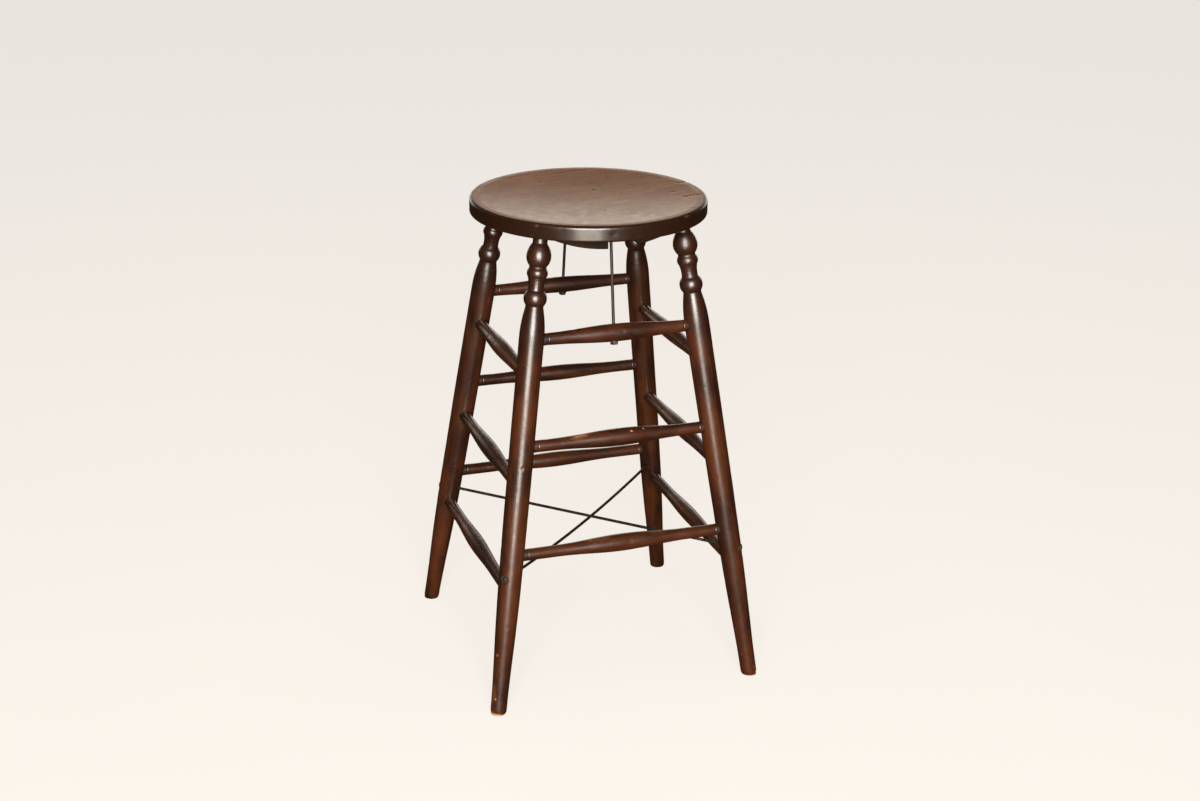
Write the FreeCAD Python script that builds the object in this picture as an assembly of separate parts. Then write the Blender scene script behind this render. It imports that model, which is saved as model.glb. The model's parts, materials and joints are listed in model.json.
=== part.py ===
import FreeCAD, Part
import math
import os

# A tall turned stool: a round dished seat on four splayed legs, with three tiers of rungs,
# two iron rods crossed between the legs and two iron rods that tie the seat to the top rungs.
#
# Frame: the origin is on the floor at the centre of the four feet, and +Z is up.
# X runs from the left legs to the right legs, and Y from the front legs to the back legs.
# All sizes are in millimetres. Heights are measured up from the floor.

# ---- driving dimensions ----

GLUE_GAP = 0.1              # clearance all round a glued joint
SOCKET_END_GAP = 0.5        # space left beyond the end of a tenon or a screw

SEAT_RADIUS = 182.5
SEAT_TOP = 750.0            # height of the seat's rim
SEAT_THICKNESS = 24.0
SEAT_DISH_DEPTH = 7.0       # how far the seat is hollowed at its centre
SEAT_DISH_RADIUS = 168.5    # where the hollow meets the flat border
SEAT_TOP_ROUND = 5.0        # rounding of the rim's upper edge
SEAT_BOTTOM_ROUND = 3.0     # rounding of the rim's lower edge

LEG_SPREAD = 208.9          # from the centre to a foot's axis, along X and along Y
LEG_LEAN = 0.135            # inward lean of a leg per unit of height, in X and in Y
LEG_NECK_RADIUS = 11.0      # the top neck runs on into the seat as a round tenon
LEG_TOP = 741.0             # height of the tenon's end inside the seat
FOOT_BEVEL = 0.8
LEG_SHAFT_PLACES = [        # height and radius of the shaft, from below the floor upwards
    (-6.0, 12.5), (50.0, 13.3), (124.0, 15.8), (236.0, 17.8), (394.0, 18.6), (575.0, 19.0),
]
LEG_TURNINGS = [            # height, radius and outward bulge of each stretch above the shaft
    (619.0, 13.9, 1.2),     # shoulder
    (622.5, 13.5, 0.0),     # collar
    (643.2, 14.2, 3.7),     # lower ball
    (644.5, 12.3, 0.0),     # step to the neck
    (664.4, 13.8, -1.0),    # hollow neck
    (665.0, 14.4, 0.0),     # step to the ring
    (675.5, 14.5, 1.35),    # ring
    (680.0, 12.8, -0.3),    # cove
    (694.0, 18.6, 1.45),    # upper ball, to its widest
    (714.0, LEG_NECK_RADIUS, 1.85),     # upper ball, to the top neck
    (LEG_TOP, LEG_NECK_RADIUS, 0.0),    # top neck and tenon
]

RUNG_END_RADIUS = 9.2
RUNG_BELLY_RADII = {"front": 13.6, "back": 12.8, "left": 12.4, "right": 12.4}
RUNG_BELLY_HALF_LENGTH = 105.0
RUNG_DEPTH_PAST_LEG_AXIS = 4.0
RUNG_SCRIBE_DEPTH = 0.6
RUNG_SCRIBE_HALF_WIDTH = 0.9
RUNG_SCRIBE_FROM_LEG = 5.5  # from the leg's surface to the scribed ring
RUNG_CURVE_STEPS = 12       # spans of the smooth curve along a rung's belly
RUNG_HEIGHTS = {            # the rungs of one tier are not quite level, side to side
    "front": {"top": 571.0, "middle": 410.5, "bottom": 244.5},
    "back": {"top": 568.0, "middle": 408.5, "bottom": 243.5},
    "left": {"top": 516.0, "middle": 352.0, "bottom": 190.5},
    "right": {"top": 516.5, "middle": 350.5, "bottom": 191.0},
}

BEARER_OFFSET = 111.0       # from the seat's centre to a bearer's mid-plane
BEARER_THICKNESS = 18.0
BEARER_HALF_LENGTH = 92.0
BEARER_DEPTH = 28.5         # from the seat's underside to the bearer's lowest point
BEARER_END_DEPTH = 9.0
BEARER_EDGE_ROUND = 2.0
BEARER_BREAK_START = -9.0   # the piece missing from the front bearer, below its rod hole
BEARER_BREAK_END_TOP = 33.0
BEARER_BREAK_END_BOTTOM = 41.0
BEARER_BREAK_DEPTH = 15.0   # thickness of wood left above the missing piece
BEARER_SCREW_AT = 62.0      # from the bearer's middle to each screw

SCREW_SHANK_RADIUS = 2.2
SCREW_HEAD_RADIUS = 4.4
SCREW_HEAD_HEIGHT = 2.8
SCREW_HEAD_SINK = 1.5       # from the bearer's lower edge up to the head
SCREW_TIP_LENGTH = 6.0
SCREW_TIP_RADIUS = 0.3
SCREW_TOP = 740.0           # height of the screw's point inside the seat
SCREW_SLOT_WIDTH = 0.9
SCREW_SLOT_DEPTH = 1.2

ROD_RADIUS = 2.3
ROD_HOLE_RADIUS = 2.7
TIE_ROD_TOP = 738.0         # height of the tie rod's end inside the seat
TIE_ROD_ASIDE = -2.5        # the front tie rod's place along X
TIE_ROD_BELOW_NUT = 0.3
TIE_WASHER_RADIUS = 6.8
TIE_WASHER_THICKNESS = 1.2
TIE_NUT_ACROSS_FLATS = 10.5
TIE_NUT_THICKNESS = 4.5
TIE_NUT_ROUND_HEIGHT = 1.35     # how far up the rounding of the nut's lower corners reaches
TIE_NUT_ROUND_MARGIN = 0.2      # from the flats to where that rounding begins
TIE_SPOT_FACE_RADIUS = 7.4
TIE_SPOT_FACE_DEPTH = 1.6

CROSS_ROD_HEIGHT = 215.0    # where both rods pass through the legs
CROSS_ROD_SAG = 10.5        # how far the lower rod is bowed down at its middle
CROSS_WASHER_RADIUS = 6.2
CROSS_WASHER_THICKNESS = 1.2
CROSS_SPOT_FACE_RADIUS = 6.6
CROSS_SPOT_FACE_DEPTH = 1.0
CROSS_HEAD_RADIUS = 4.0
CROSS_HEAD_HEIGHT = 2.4
CROSS_HEAD_CROWN_RADIUS = 0.4   # the small flat on top of the hammered head
CROSS_HEAD_BULGE = 0.9

# ---- values worked out from the driving dimensions ----

SEAT_UNDERSIDE = SEAT_TOP - SEAT_THICKNESS
LEG_STRETCH = math.sqrt(1.0 + 2.0 * LEG_LEAN ** 2)   # axis length per unit of height
LEG_SIDES = {
    "front_left": (-1, -1),
    "front_right": (1, -1),
    "back_left": (-1, 1),
    "back_right": (1, 1),
}
FAR = 1000.0                # longer than any piece, for cutting solids
BAR_LENGTH = 60.0           # long enough to cut clean through a leg
OVERRUN = 10.0              # how far a hole's cutting solid starts outside the wood
NEARLY = 0.01               # tolerance for picking edges and for lengths of nothing


# ---- small geometry helpers ----

def vector(x, y, z):
    return FreeCAD.Vector(x, y, z)


ORIGIN = vector(0, 0, 0)
Y_AXIS = vector(0, 1, 0)
Z_AXIS = vector(0, 0, 1)


def unit(direction):
    """The same direction with a length of one."""
    return direction * (1.0 / direction.Length)


def arc(start, end, bulge):
    """An edge from start to end that swells by bulge to the right of the way it travels."""
    if abs(bulge) < NEARLY:
        return Part.makeLine(start, end)
    chord = end - start
    outward = unit(vector(chord.z, 0, -chord.x))
    middle = (start + end) * 0.5 + outward * bulge
    return Part.Arc(start, middle, end).toShape()


def turned(edges):
    """Spin an outline about the Z axis. Its edges run upwards, as radius along X."""
    bottom = edges[0].firstVertex(True).Point
    top = edges[-1].lastVertex(True).Point
    closing = []
    if top.x > NEARLY:
        closing.append(Part.makeLine(top, vector(0, 0, top.z)))
    closing.append(Part.makeLine(vector(0, 0, top.z), vector(0, 0, bottom.z)))
    if bottom.x > NEARLY:
        closing.append(Part.makeLine(vector(0, 0, bottom.z), bottom))
    outline = Part.Wire(edges + closing)
    return Part.Face(outline).revolve(ORIGIN, Z_AXIS, 360)


def profile(start, stretches):
    """Edges through (height, radius, bulge) stretches, from a start of (height, radius)."""
    point = vector(start[1], 0, start[0])
    edges = []
    for height, radius, bulge in stretches:
        following = vector(radius, 0, height)
        edges.append(arc(point, following, bulge))
        point = following
    return edges


def placed(shape, position, direction):
    """Move a shape made along +Z so that its origin and axis lie where they are given."""
    moved = shape.copy()
    turn = FreeCAD.Rotation(Z_AXIS, direction)
    moved.Placement = FreeCAD.Placement(position, turn)
    return moved


def cylinder(start, end, radius):
    """A round bar from start to end."""
    length = (end - start).Length
    return Part.makeCylinder(radius, length, start, end - start)


def below_floor():
    """Everything under the floor."""
    return Part.makeBox(2 * FAR, 2 * FAR, FAR, vector(-FAR, -FAR, -FAR))


# ---- places on the stool ----

def leg_reach(height):
    """Distance from the stool's centre plane to a leg's axis, in X and in Y."""
    return LEG_SPREAD - LEG_LEAN * height


def leg_point(side, height):
    """The point on a leg's axis at a height."""
    across, back = LEG_SIDES[side]
    reach = leg_reach(height)
    return vector(across * reach, back * reach, height)


def leg_direction(side):
    """The way a leg's axis points, upwards."""
    across, back = LEG_SIDES[side]
    return unit(vector(-across * LEG_LEAN, -back * LEG_LEAN, 1))


def rung_ends(side, height):
    """The two leg axis points that a rung runs between."""
    reach = leg_reach(height)
    ends = {
        "front": (vector(-reach, -reach, height), vector(reach, -reach, height)),
        "back": (vector(-reach, reach, height), vector(reach, reach, height)),
        "left": (vector(-reach, -reach, height), vector(-reach, reach, height)),
        "right": (vector(reach, -reach, height), vector(reach, reach, height)),
    }
    return ends[side]


def rung_tenon_reach(height):
    """Distance from a rung's middle to the end of its tenon inside the leg."""
    return leg_reach(height) + RUNG_DEPTH_PAST_LEG_AXIS


# ---- seat ----

def make_seat():
    """A thick round board with a shallow dished top and a rounded rim."""
    top_round = SEAT_TOP_ROUND * (1 - math.sqrt(0.5))
    bottom_round = SEAT_BOTTOM_ROUND * (1 - math.sqrt(0.5))
    low = SEAT_UNDERSIDE
    high = SEAT_TOP
    rim = SEAT_RADIUS
    under_edge = vector(rim - SEAT_BOTTOM_ROUND, 0, low)
    rim_low = vector(rim, 0, low + SEAT_BOTTOM_ROUND)
    rim_high = vector(rim, 0, high - SEAT_TOP_ROUND)
    top_edge = vector(rim - SEAT_TOP_ROUND, 0, high)
    dish_edge = vector(SEAT_DISH_RADIUS, 0, high)
    dish_middle = vector(0, 0, high - SEAT_DISH_DEPTH)
    dish_curve = (SEAT_DISH_RADIUS ** 2 + SEAT_DISH_DEPTH ** 2) / (2 * SEAT_DISH_DEPTH)
    half_way = SEAT_DISH_RADIUS / 2
    dish_drop = dish_curve - math.sqrt(dish_curve ** 2 - half_way ** 2)
    dish_half_way = vector(half_way, 0, high - SEAT_DISH_DEPTH + dish_drop)
    low_corner = vector(rim - bottom_round, 0, low + bottom_round)
    high_corner = vector(rim - top_round, 0, high - top_round)
    outline = Part.Wire([
        Part.makeLine(vector(0, 0, low), under_edge),
        Part.Arc(under_edge, low_corner, rim_low).toShape(),
        Part.makeLine(rim_low, rim_high),
        Part.Arc(rim_high, high_corner, top_edge).toShape(),
        Part.makeLine(top_edge, dish_edge),
        Part.Arc(dish_edge, dish_half_way, dish_middle).toShape(),
        Part.makeLine(dish_middle, vector(0, 0, low)),
    ])
    return Part.Face(outline).revolve(ORIGIN, Z_AXIS, 360)


def leg_sockets():
    """Blind holes in the seat for the leg tenons."""
    sockets = []
    for side in LEG_SIDES:
        start = leg_point(side, SEAT_UNDERSIDE - OVERRUN)
        end = leg_point(side, LEG_TOP + SOCKET_END_GAP)
        sockets.append(cylinder(start, end, LEG_NECK_RADIUS + GLUE_GAP))
    return sockets


# ---- legs ----

def leg_shaft():
    """The shaft's smooth outline, as radius along X and distance up the leg's axis along Z."""
    shaft = Part.BSplineCurve()
    points = [vector(radius, 0, height * LEG_STRETCH) for height, radius in LEG_SHAFT_PLACES]
    shaft.interpolate(Points=points, InitialTangent=Z_AXIS, FinalTangent=Z_AXIS)
    return shaft


def leg_outline():
    """The turned outline of a leg, from just below the floor to the end of its tenon."""
    start_height, start_radius = LEG_SHAFT_PLACES[-1]
    start = (start_height * LEG_STRETCH, start_radius)
    stretches = [(height * LEG_STRETCH, radius, bulge) for height, radius, bulge in LEG_TURNINGS]
    return [leg_shaft().toShape()] + profile(start, stretches)


def leg_radius_near(height):
    """Radius of a leg's shaft where a rung or a rod meets it."""
    shaft = leg_shaft()
    axis_place = vector(LEG_SHAFT_PLACES[-1][1], 0, height * LEG_STRETCH)
    return shaft.value(shaft.parameter(axis_place)).x


def make_leg_blank():
    """A turned leg on the Z axis, with its foot on the origin and its ends uncut."""
    return turned(leg_outline())


def leg_joint_holes(side):
    """The rung sockets and the rod hole that a leg needs."""
    across, back = LEG_SIDES[side]
    facing = {
        "front" if back < 0 else "back": vector(across, 0, 0),
        "left" if across < 0 else "right": vector(0, back, 0),
    }
    holes = []
    for rung_side, outward in facing.items():
        for height in RUNG_HEIGHTS[rung_side].values():
            axis_point = leg_point(side, height)
            end = axis_point + outward * (RUNG_DEPTH_PAST_LEG_AXIS + SOCKET_END_GAP)
            start = axis_point - outward * BAR_LENGTH
            holes.append(cylinder(start, end, RUNG_END_RADIUS + GLUE_GAP))
    rod_point, rod_outward = cross_rod_exit(side)
    outside = rod_point + rod_outward * BAR_LENGTH
    holes.append(cylinder(rod_point - rod_outward * BAR_LENGTH, outside, ROD_HOLE_RADIUS))
    holes.append(cylinder(cross_rod_seat(side), outside, CROSS_SPOT_FACE_RADIUS))
    return holes


def make_leg(blank, side):
    """One leg in its place: cut flat at the floor, bevelled round its foot and drilled."""
    body = placed(blank, leg_point(side, 0), leg_direction(side))
    body = body.cut(below_floor())
    sole = [edge for edge in body.Edges if edge.BoundBox.ZMax < NEARLY]
    body = body.makeChamfer(FOOT_BEVEL, sole)
    for hole in leg_joint_holes(side):
        body = body.cut(hole)
    return body


# ---- rungs ----

def rung_radius(side, distance):
    """Radius of a rung at a distance from its middle: plain ends and a smooth belly."""
    if abs(distance) >= RUNG_BELLY_HALF_LENGTH:
        return RUNG_END_RADIUS
    swell = (1 + math.cos(math.pi * distance / RUNG_BELLY_HALF_LENGTH)) / 2
    return RUNG_END_RADIUS + (RUNG_BELLY_RADII[side] - RUNG_END_RADIUS) * swell


def make_rung(side, tier):
    """A turned rung between two legs, with a scribed ring near each end."""
    height = RUNG_HEIGHTS[side][tier]
    reach = rung_tenon_reach(height)
    scribe = leg_reach(height) - leg_radius_near(height) - RUNG_SCRIBE_FROM_LEG
    belly = min(RUNG_BELLY_HALF_LENGTH, scribe - 2 * RUNG_SCRIBE_HALF_WIDTH)
    places = [belly * (2.0 * i / RUNG_CURVE_STEPS - 1) for i in range(RUNG_CURVE_STEPS + 1)]
    curve_points = [vector(rung_radius(side, place), 0, place) for place in places]
    belly_curve = Part.BSplineCurve()
    belly_curve.interpolate(curve_points)
    groove_radius = RUNG_END_RADIUS - RUNG_SCRIBE_DEPTH
    low_end = profile((-reach, RUNG_END_RADIUS), [
        (-scribe - RUNG_SCRIBE_HALF_WIDTH, RUNG_END_RADIUS, 0.0),
        (-scribe, groove_radius, 0.0),
        (-scribe + RUNG_SCRIBE_HALF_WIDTH, RUNG_END_RADIUS, 0.0),
        (-belly, rung_radius(side, belly), 0.0),
    ])
    high_end = profile((belly, rung_radius(side, belly)), [
        (scribe - RUNG_SCRIBE_HALF_WIDTH, RUNG_END_RADIUS, 0.0),
        (scribe, groove_radius, 0.0),
        (scribe + RUNG_SCRIBE_HALF_WIDTH, RUNG_END_RADIUS, 0.0),
        (reach, RUNG_END_RADIUS, 0.0),
    ])
    blank = turned(low_end + [belly_curve.toShape()] + high_end)
    start, end = rung_ends(side, height)
    rung = placed(blank, (start + end) * 0.5, end - start)
    if tier == "top" and side in ("front", "back"):
        rung = rung.cut(tie_rod_hole(side))
        rung = rung.cut(tie_rod_spot_face(side))
    return rung


# ---- bearers under the seat ----

def bearer_outline():
    """The front view of a bearer: flat on top, with a bowed lower edge and cut-back ends."""
    top = SEAT_UNDERSIDE - GLUE_GAP
    half = BEARER_HALF_LENGTH
    end_bottom = SEAT_UNDERSIDE - BEARER_END_DEPTH
    corners = [vector(-half, 0, top), vector(half, 0, top), vector(half, 0, end_bottom)]
    lowest = vector(0, 0, SEAT_UNDERSIDE - BEARER_DEPTH)
    far_end = vector(-half, 0, end_bottom)
    return Part.Wire([
        Part.makeLine(corners[0], corners[1]),
        Part.makeLine(corners[1], corners[2]),
        Part.Arc(corners[2], lowest, far_end).toShape(),
        Part.makeLine(far_end, corners[0]),
    ])


def missing_piece():
    """The piece broken out of the front bearer beside its rod, leaving a sloped end."""
    low = SEAT_UNDERSIDE - 2 * BEARER_DEPTH
    high = SEAT_UNDERSIDE - BEARER_BREAK_DEPTH
    slope = (BEARER_BREAK_END_BOTTOM - BEARER_BREAK_END_TOP) / (BEARER_DEPTH - BEARER_BREAK_DEPTH)
    end_low = BEARER_BREAK_END_TOP + slope * (high - low)
    corners = [
        vector(BEARER_BREAK_START, -FAR, high),
        vector(BEARER_BREAK_END_TOP, -FAR, high),
        vector(end_low, -FAR, low),
        vector(BEARER_BREAK_START, -FAR, low),
    ]
    return Part.Face(Part.makePolygon(corners + corners[:1])).extrude(Y_AXIS * FAR)


def make_bearer(side):
    """A bearer under the seat between two legs. The back one is the front one turned round."""
    board = Part.Face(bearer_outline()).extrude(Y_AXIS * BEARER_THICKNESS)
    board.translate(vector(0, -BEARER_OFFSET - BEARER_THICKNESS / 2, 0))
    lowest = SEAT_UNDERSIDE - BEARER_DEPTH
    lower_edges = [edge for edge in board.Edges
                   if abs(edge.BoundBox.ZMin - lowest) < NEARLY
                   and edge.BoundBox.XLength > BEARER_HALF_LENGTH]
    board = board.makeFillet(BEARER_EDGE_ROUND, lower_edges)
    for across in (-1, 1):
        board = board.cut(screw_hole(across * BEARER_SCREW_AT))
    board = board.cut(tie_rod_hole("front"))
    if side == "front":
        return board.cut(missing_piece())
    board.rotate(ORIGIN, Z_AXIS, 180)
    return board


# ---- screws that hold the bearers to the seat ----

def bearer_underside(across):
    """Height of a bearer's bowed lower edge at a distance from its middle."""
    rise = BEARER_DEPTH - BEARER_END_DEPTH
    curve = (BEARER_HALF_LENGTH ** 2 + rise ** 2) / (2 * rise)
    lowest = SEAT_UNDERSIDE - BEARER_DEPTH
    return lowest + curve - math.sqrt(curve ** 2 - across ** 2)


def screw_head_height(across):
    """Height of the underside of a screw's sunk head."""
    return bearer_underside(across) + SCREW_HEAD_SINK


def screw_hole(across):
    """The clearance hole and countersink in the front bearer for one screw."""
    base = screw_head_height(across)
    gap = GLUE_GAP
    shank = Part.makeCylinder(SCREW_SHANK_RADIUS + gap, BEARER_DEPTH + OVERRUN,
                              vector(across, -BEARER_OFFSET, base))
    sink = Part.makeCone(SCREW_HEAD_RADIUS + gap, SCREW_SHANK_RADIUS + gap, SCREW_HEAD_HEIGHT,
                         vector(across, -BEARER_OFFSET, base + gap))
    mouth = Part.makeCylinder(SCREW_HEAD_RADIUS + gap, OVERRUN,
                              vector(across, -BEARER_OFFSET, base + gap - OVERRUN))
    return shank.fuse(sink).fuse(mouth)


def screw_pilot_holes():
    """The holes in the seat's underside for the screws of both bearers."""
    pilots = []
    for across in (-1, 1):
        for back in (-1, 1):
            place = vector(across * BEARER_SCREW_AT, back * BEARER_OFFSET,
                           SEAT_UNDERSIDE - OVERRUN)
            depth = SCREW_TOP + SOCKET_END_GAP - place.z
            pilots.append(Part.makeCylinder(SCREW_SHANK_RADIUS + GLUE_GAP, depth, place))
    return pilots


def make_screw(across):
    """A countersunk slotted wood screw in the front bearer, with its point upwards."""
    base = screw_head_height(across)
    tip_start = SCREW_TOP - SCREW_TIP_LENGTH
    outline = profile((base, SCREW_HEAD_RADIUS), [
        (base + SCREW_HEAD_HEIGHT, SCREW_SHANK_RADIUS, 0.0),
        (tip_start, SCREW_SHANK_RADIUS, 0.0),
        (SCREW_TOP, SCREW_TIP_RADIUS, 0.0),
    ])
    screw = turned(outline)
    slot = Part.makeBox(4 * SCREW_HEAD_RADIUS, SCREW_SLOT_WIDTH, SCREW_SLOT_DEPTH,
                        vector(-2 * SCREW_HEAD_RADIUS, -SCREW_SLOT_WIDTH / 2, base))
    screw = screw.cut(slot)
    screw.translate(vector(across, -BEARER_OFFSET, 0))
    return screw


def make_bearer_screws():
    """The two screws in each bearer, as separate solids."""
    screws = []
    for across in (-1, 1):
        screw = make_screw(across * BEARER_SCREW_AT)
        opposite = screw.copy()
        opposite.rotate(ORIGIN, Z_AXIS, 180)
        screws.extend([screw, opposite])
    return Part.makeCompound(screws)


# ---- tie rods between the top rungs and the seat ----

def tie_rod_point(side, height):
    """A point on a tie rod's axis, which leans with the legs."""
    facing = -1 if side == "front" else 1
    return vector(-facing * TIE_ROD_ASIDE, facing * leg_reach(height), height)


def tie_rod_axis(side):
    """The way a tie rod points, upwards."""
    return unit(tie_rod_point(side, SEAT_TOP) - tie_rod_point(side, 0))


def tie_rod_place(side, drop):
    """The point on a tie rod at a distance below its top rung's axis."""
    return tie_rod_point(side, RUNG_HEIGHTS[side]["top"]) - tie_rod_axis(side) * drop


def tie_rod_seat_drop(side):
    """Distance below the top rung's axis, along the rod, of the face that the washer meets."""
    return RUNG_BELLY_RADII[side] - TIE_SPOT_FACE_DEPTH


def tie_washer_drop(side):
    """Distance below the top rung's axis where the washer begins."""
    return tie_rod_seat_drop(side) + GLUE_GAP


def tie_nut_drop(side):
    """Distance below the top rung's axis where the nut ends."""
    return tie_washer_drop(side) + TIE_WASHER_THICKNESS + GLUE_GAP + TIE_NUT_THICKNESS


def tie_rod_hole(side):
    """The hole for a tie rod through the top rung and the bearer."""
    above = tie_rod_point(side, SEAT_UNDERSIDE + OVERRUN)
    return cylinder(tie_rod_place(side, BAR_LENGTH), above, ROD_HOLE_RADIUS)


def tie_rod_spot_face(side):
    """The flat cut in the underside of the top rung for the tie rod's washer."""
    face = tie_rod_place(side, tie_rod_seat_drop(side))
    return cylinder(face, tie_rod_place(side, BAR_LENGTH), TIE_SPOT_FACE_RADIUS)


def tie_rod_seat_hole(side):
    """The blind hole in the seat for a tie rod's upper end."""
    below = tie_rod_point(side, SEAT_UNDERSIDE - OVERRUN)
    above = tie_rod_point(side, TIE_ROD_TOP + SOCKET_END_GAP)
    return cylinder(below, above, ROD_RADIUS + GLUE_GAP)


def make_tie_rod(side):
    """A round iron rod from its nut below the top rung up into the seat."""
    bottom = tie_rod_place(side, tie_nut_drop(side) + TIE_ROD_BELOW_NUT)
    return cylinder(bottom, tie_rod_point(side, TIE_ROD_TOP), ROD_RADIUS)


def make_tie_washer(side):
    """The round washer under a top rung."""
    top = tie_rod_place(side, tie_washer_drop(side))
    bottom = tie_rod_place(side, tie_washer_drop(side) + TIE_WASHER_THICKNESS)
    washer = cylinder(top, bottom, TIE_WASHER_RADIUS)
    return washer.cut(cylinder(top, bottom, ROD_RADIUS + GLUE_GAP))


def make_tie_nut(side):
    """The six-sided nut under a tie rod's washer, with its lower corners rounded."""
    corner_radius = TIE_NUT_ACROSS_FLATS / math.sqrt(3)
    corners = []
    for i in range(7):
        turn = math.pi / 3 * i
        corners.append(vector(corner_radius * math.cos(turn), corner_radius * math.sin(turn), 0))
    prism = Part.Face(Part.makePolygon(corners)).extrude(Z_AXIS * TIE_NUT_THICKNESS)
    round_start = TIE_NUT_ACROSS_FLATS / 2 + TIE_NUT_ROUND_MARGIN
    clear_radius = corner_radius + GLUE_GAP
    rounding = turned(profile((0, round_start), [
        (TIE_NUT_ROUND_HEIGHT, clear_radius, GLUE_GAP),
        (TIE_NUT_THICKNESS, clear_radius, 0.0),
    ]))
    nut = prism.common(rounding)
    nut = nut.cut(Part.makeCylinder(ROD_RADIUS + GLUE_GAP, TIE_NUT_THICKNESS))
    return placed(nut, tie_rod_place(side, tie_nut_drop(side)), tie_rod_axis(side))


# ---- crossed rods between opposite legs ----

def cross_rod_sag(side):
    """The straight rod joins the back-left and front-right legs; the other one is bowed."""
    return 0.0 if side in ("back_left", "front_right") else CROSS_ROD_SAG


def cross_rod_exit(side):
    """Where a cross rod meets a leg's axis, and the way it leaves the stool there."""
    across, back = LEG_SIDES[side]
    middle = leg_point(side, CROSS_ROD_HEIGHT)
    half_span = leg_reach(CROSS_ROD_HEIGHT) * math.sqrt(2)
    sag = cross_rod_sag(side)
    climb = 2 * sag * half_span / (half_span ** 2 - sag ** 2)
    return middle, unit(vector(across, back, climb * math.sqrt(2)))


def cross_rod_seat(side):
    """The middle of the flat that a cross rod's washer rests on, on a leg's outer side."""
    middle, outward = cross_rod_exit(side)
    return middle + outward * (leg_radius_near(CROSS_ROD_HEIGHT) - CROSS_SPOT_FACE_DEPTH)


def cross_rod_end(side):
    """Where a cross rod's peened head begins, just outside its washer."""
    middle, outward = cross_rod_exit(side)
    return cross_rod_seat(side) + outward * (CROSS_WASHER_THICKNESS + 2 * GLUE_GAP)


def make_cross_rod(first, second):
    """A rod between opposite legs, with a rounded head hammered over at each end."""
    start = cross_rod_end(first)
    end = cross_rod_end(second)
    sag = cross_rod_sag(first)
    if sag == 0:
        path_edge = Part.makeLine(start, end)
    else:
        middle = vector(0, 0, CROSS_ROD_HEIGHT - sag)
        path_edge = Part.Arc(start, middle, end).toShape()
    travel = path_edge.tangentAt(path_edge.FirstParameter)
    ring = Part.Wire(Part.makeCircle(ROD_RADIUS, start, travel))
    rod = Part.Wire(path_edge).makePipeShell([ring], True, False)
    head = turned(profile((0, CROSS_HEAD_RADIUS), [
        (CROSS_HEAD_HEIGHT, CROSS_HEAD_CROWN_RADIUS, CROSS_HEAD_BULGE),
    ]))
    for side in (first, second):
        direction = cross_rod_exit(side)[1]
        rod = rod.fuse(placed(head, cross_rod_end(side), direction))
    return rod


def make_cross_rod_washers():
    """The four washers on the outer sides of the legs, as separate solids."""
    washers = []
    for side in LEG_SIDES:
        outward = cross_rod_exit(side)[1]
        start = cross_rod_seat(side) + outward * GLUE_GAP
        end = start + outward * CROSS_WASHER_THICKNESS
        ring = cylinder(start, end, CROSS_WASHER_RADIUS)
        washers.append(ring.cut(cylinder(start, end, ROD_RADIUS + GLUE_GAP)))
    return Part.makeCompound(washers)


# ---- the whole stool ----

def build_pieces():
    """Every piece of the stool by name."""
    pieces = {}
    seat = make_seat()
    for hole in leg_sockets() + screw_pilot_holes():
        seat = seat.cut(hole)
    for side in ("front", "back"):
        seat = seat.cut(tie_rod_seat_hole(side))
    pieces["seat"] = seat

    blank = make_leg_blank()
    for side in LEG_SIDES:
        pieces["leg_" + side] = make_leg(blank, side)

    for side in ("front", "back", "left", "right"):
        for tier in ("top", "middle", "bottom"):
            pieces["rung_{}_{}".format(side, tier)] = make_rung(side, tier)

    for side in ("front", "back"):
        pieces["seat_bearer_" + side] = make_bearer(side)
        pieces["tie_rod_" + side] = make_tie_rod(side)
        pieces["tie_rod_washer_" + side] = make_tie_washer(side)
        pieces["tie_rod_nut_" + side] = make_tie_nut(side)
    pieces["bearer_screws"] = make_bearer_screws()

    pieces["cross_rod_straight"] = make_cross_rod("back_left", "front_right")
    pieces["cross_rod_bowed"] = make_cross_rod("back_right", "front_left")
    pieces["cross_rod_washers"] = make_cross_rod_washers()
    return pieces


def single_solid(shape):
    """The one solid inside a shape that a cut or a fuse left wrapped."""
    solids = shape.removeSplitter().Solids
    return solids[0] if len(solids) == 1 else Part.makeCompound(solids)


def write_pieces(pieces):
    os.makedirs("parts", exist_ok=True)
    for name, shape in pieces.items():
        result = single_solid(shape)
        if not result.isValid():
            raise ValueError("the shape of " + name + " is not valid")
        result.exportStep(os.path.join("parts", name + ".step"))
        print(name, len(result.Solids), "solid(s)", round(result.Volume / 1000, 2), "cm3")


write_pieces(build_pieces())
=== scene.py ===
import json
import random
from math import cos, nan, pi, radians, sin, sqrt

import bpy
import numpy as np
from mathutils import Matrix, Vector, noise
from mathutils.bvhtree import BVHTree

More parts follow.
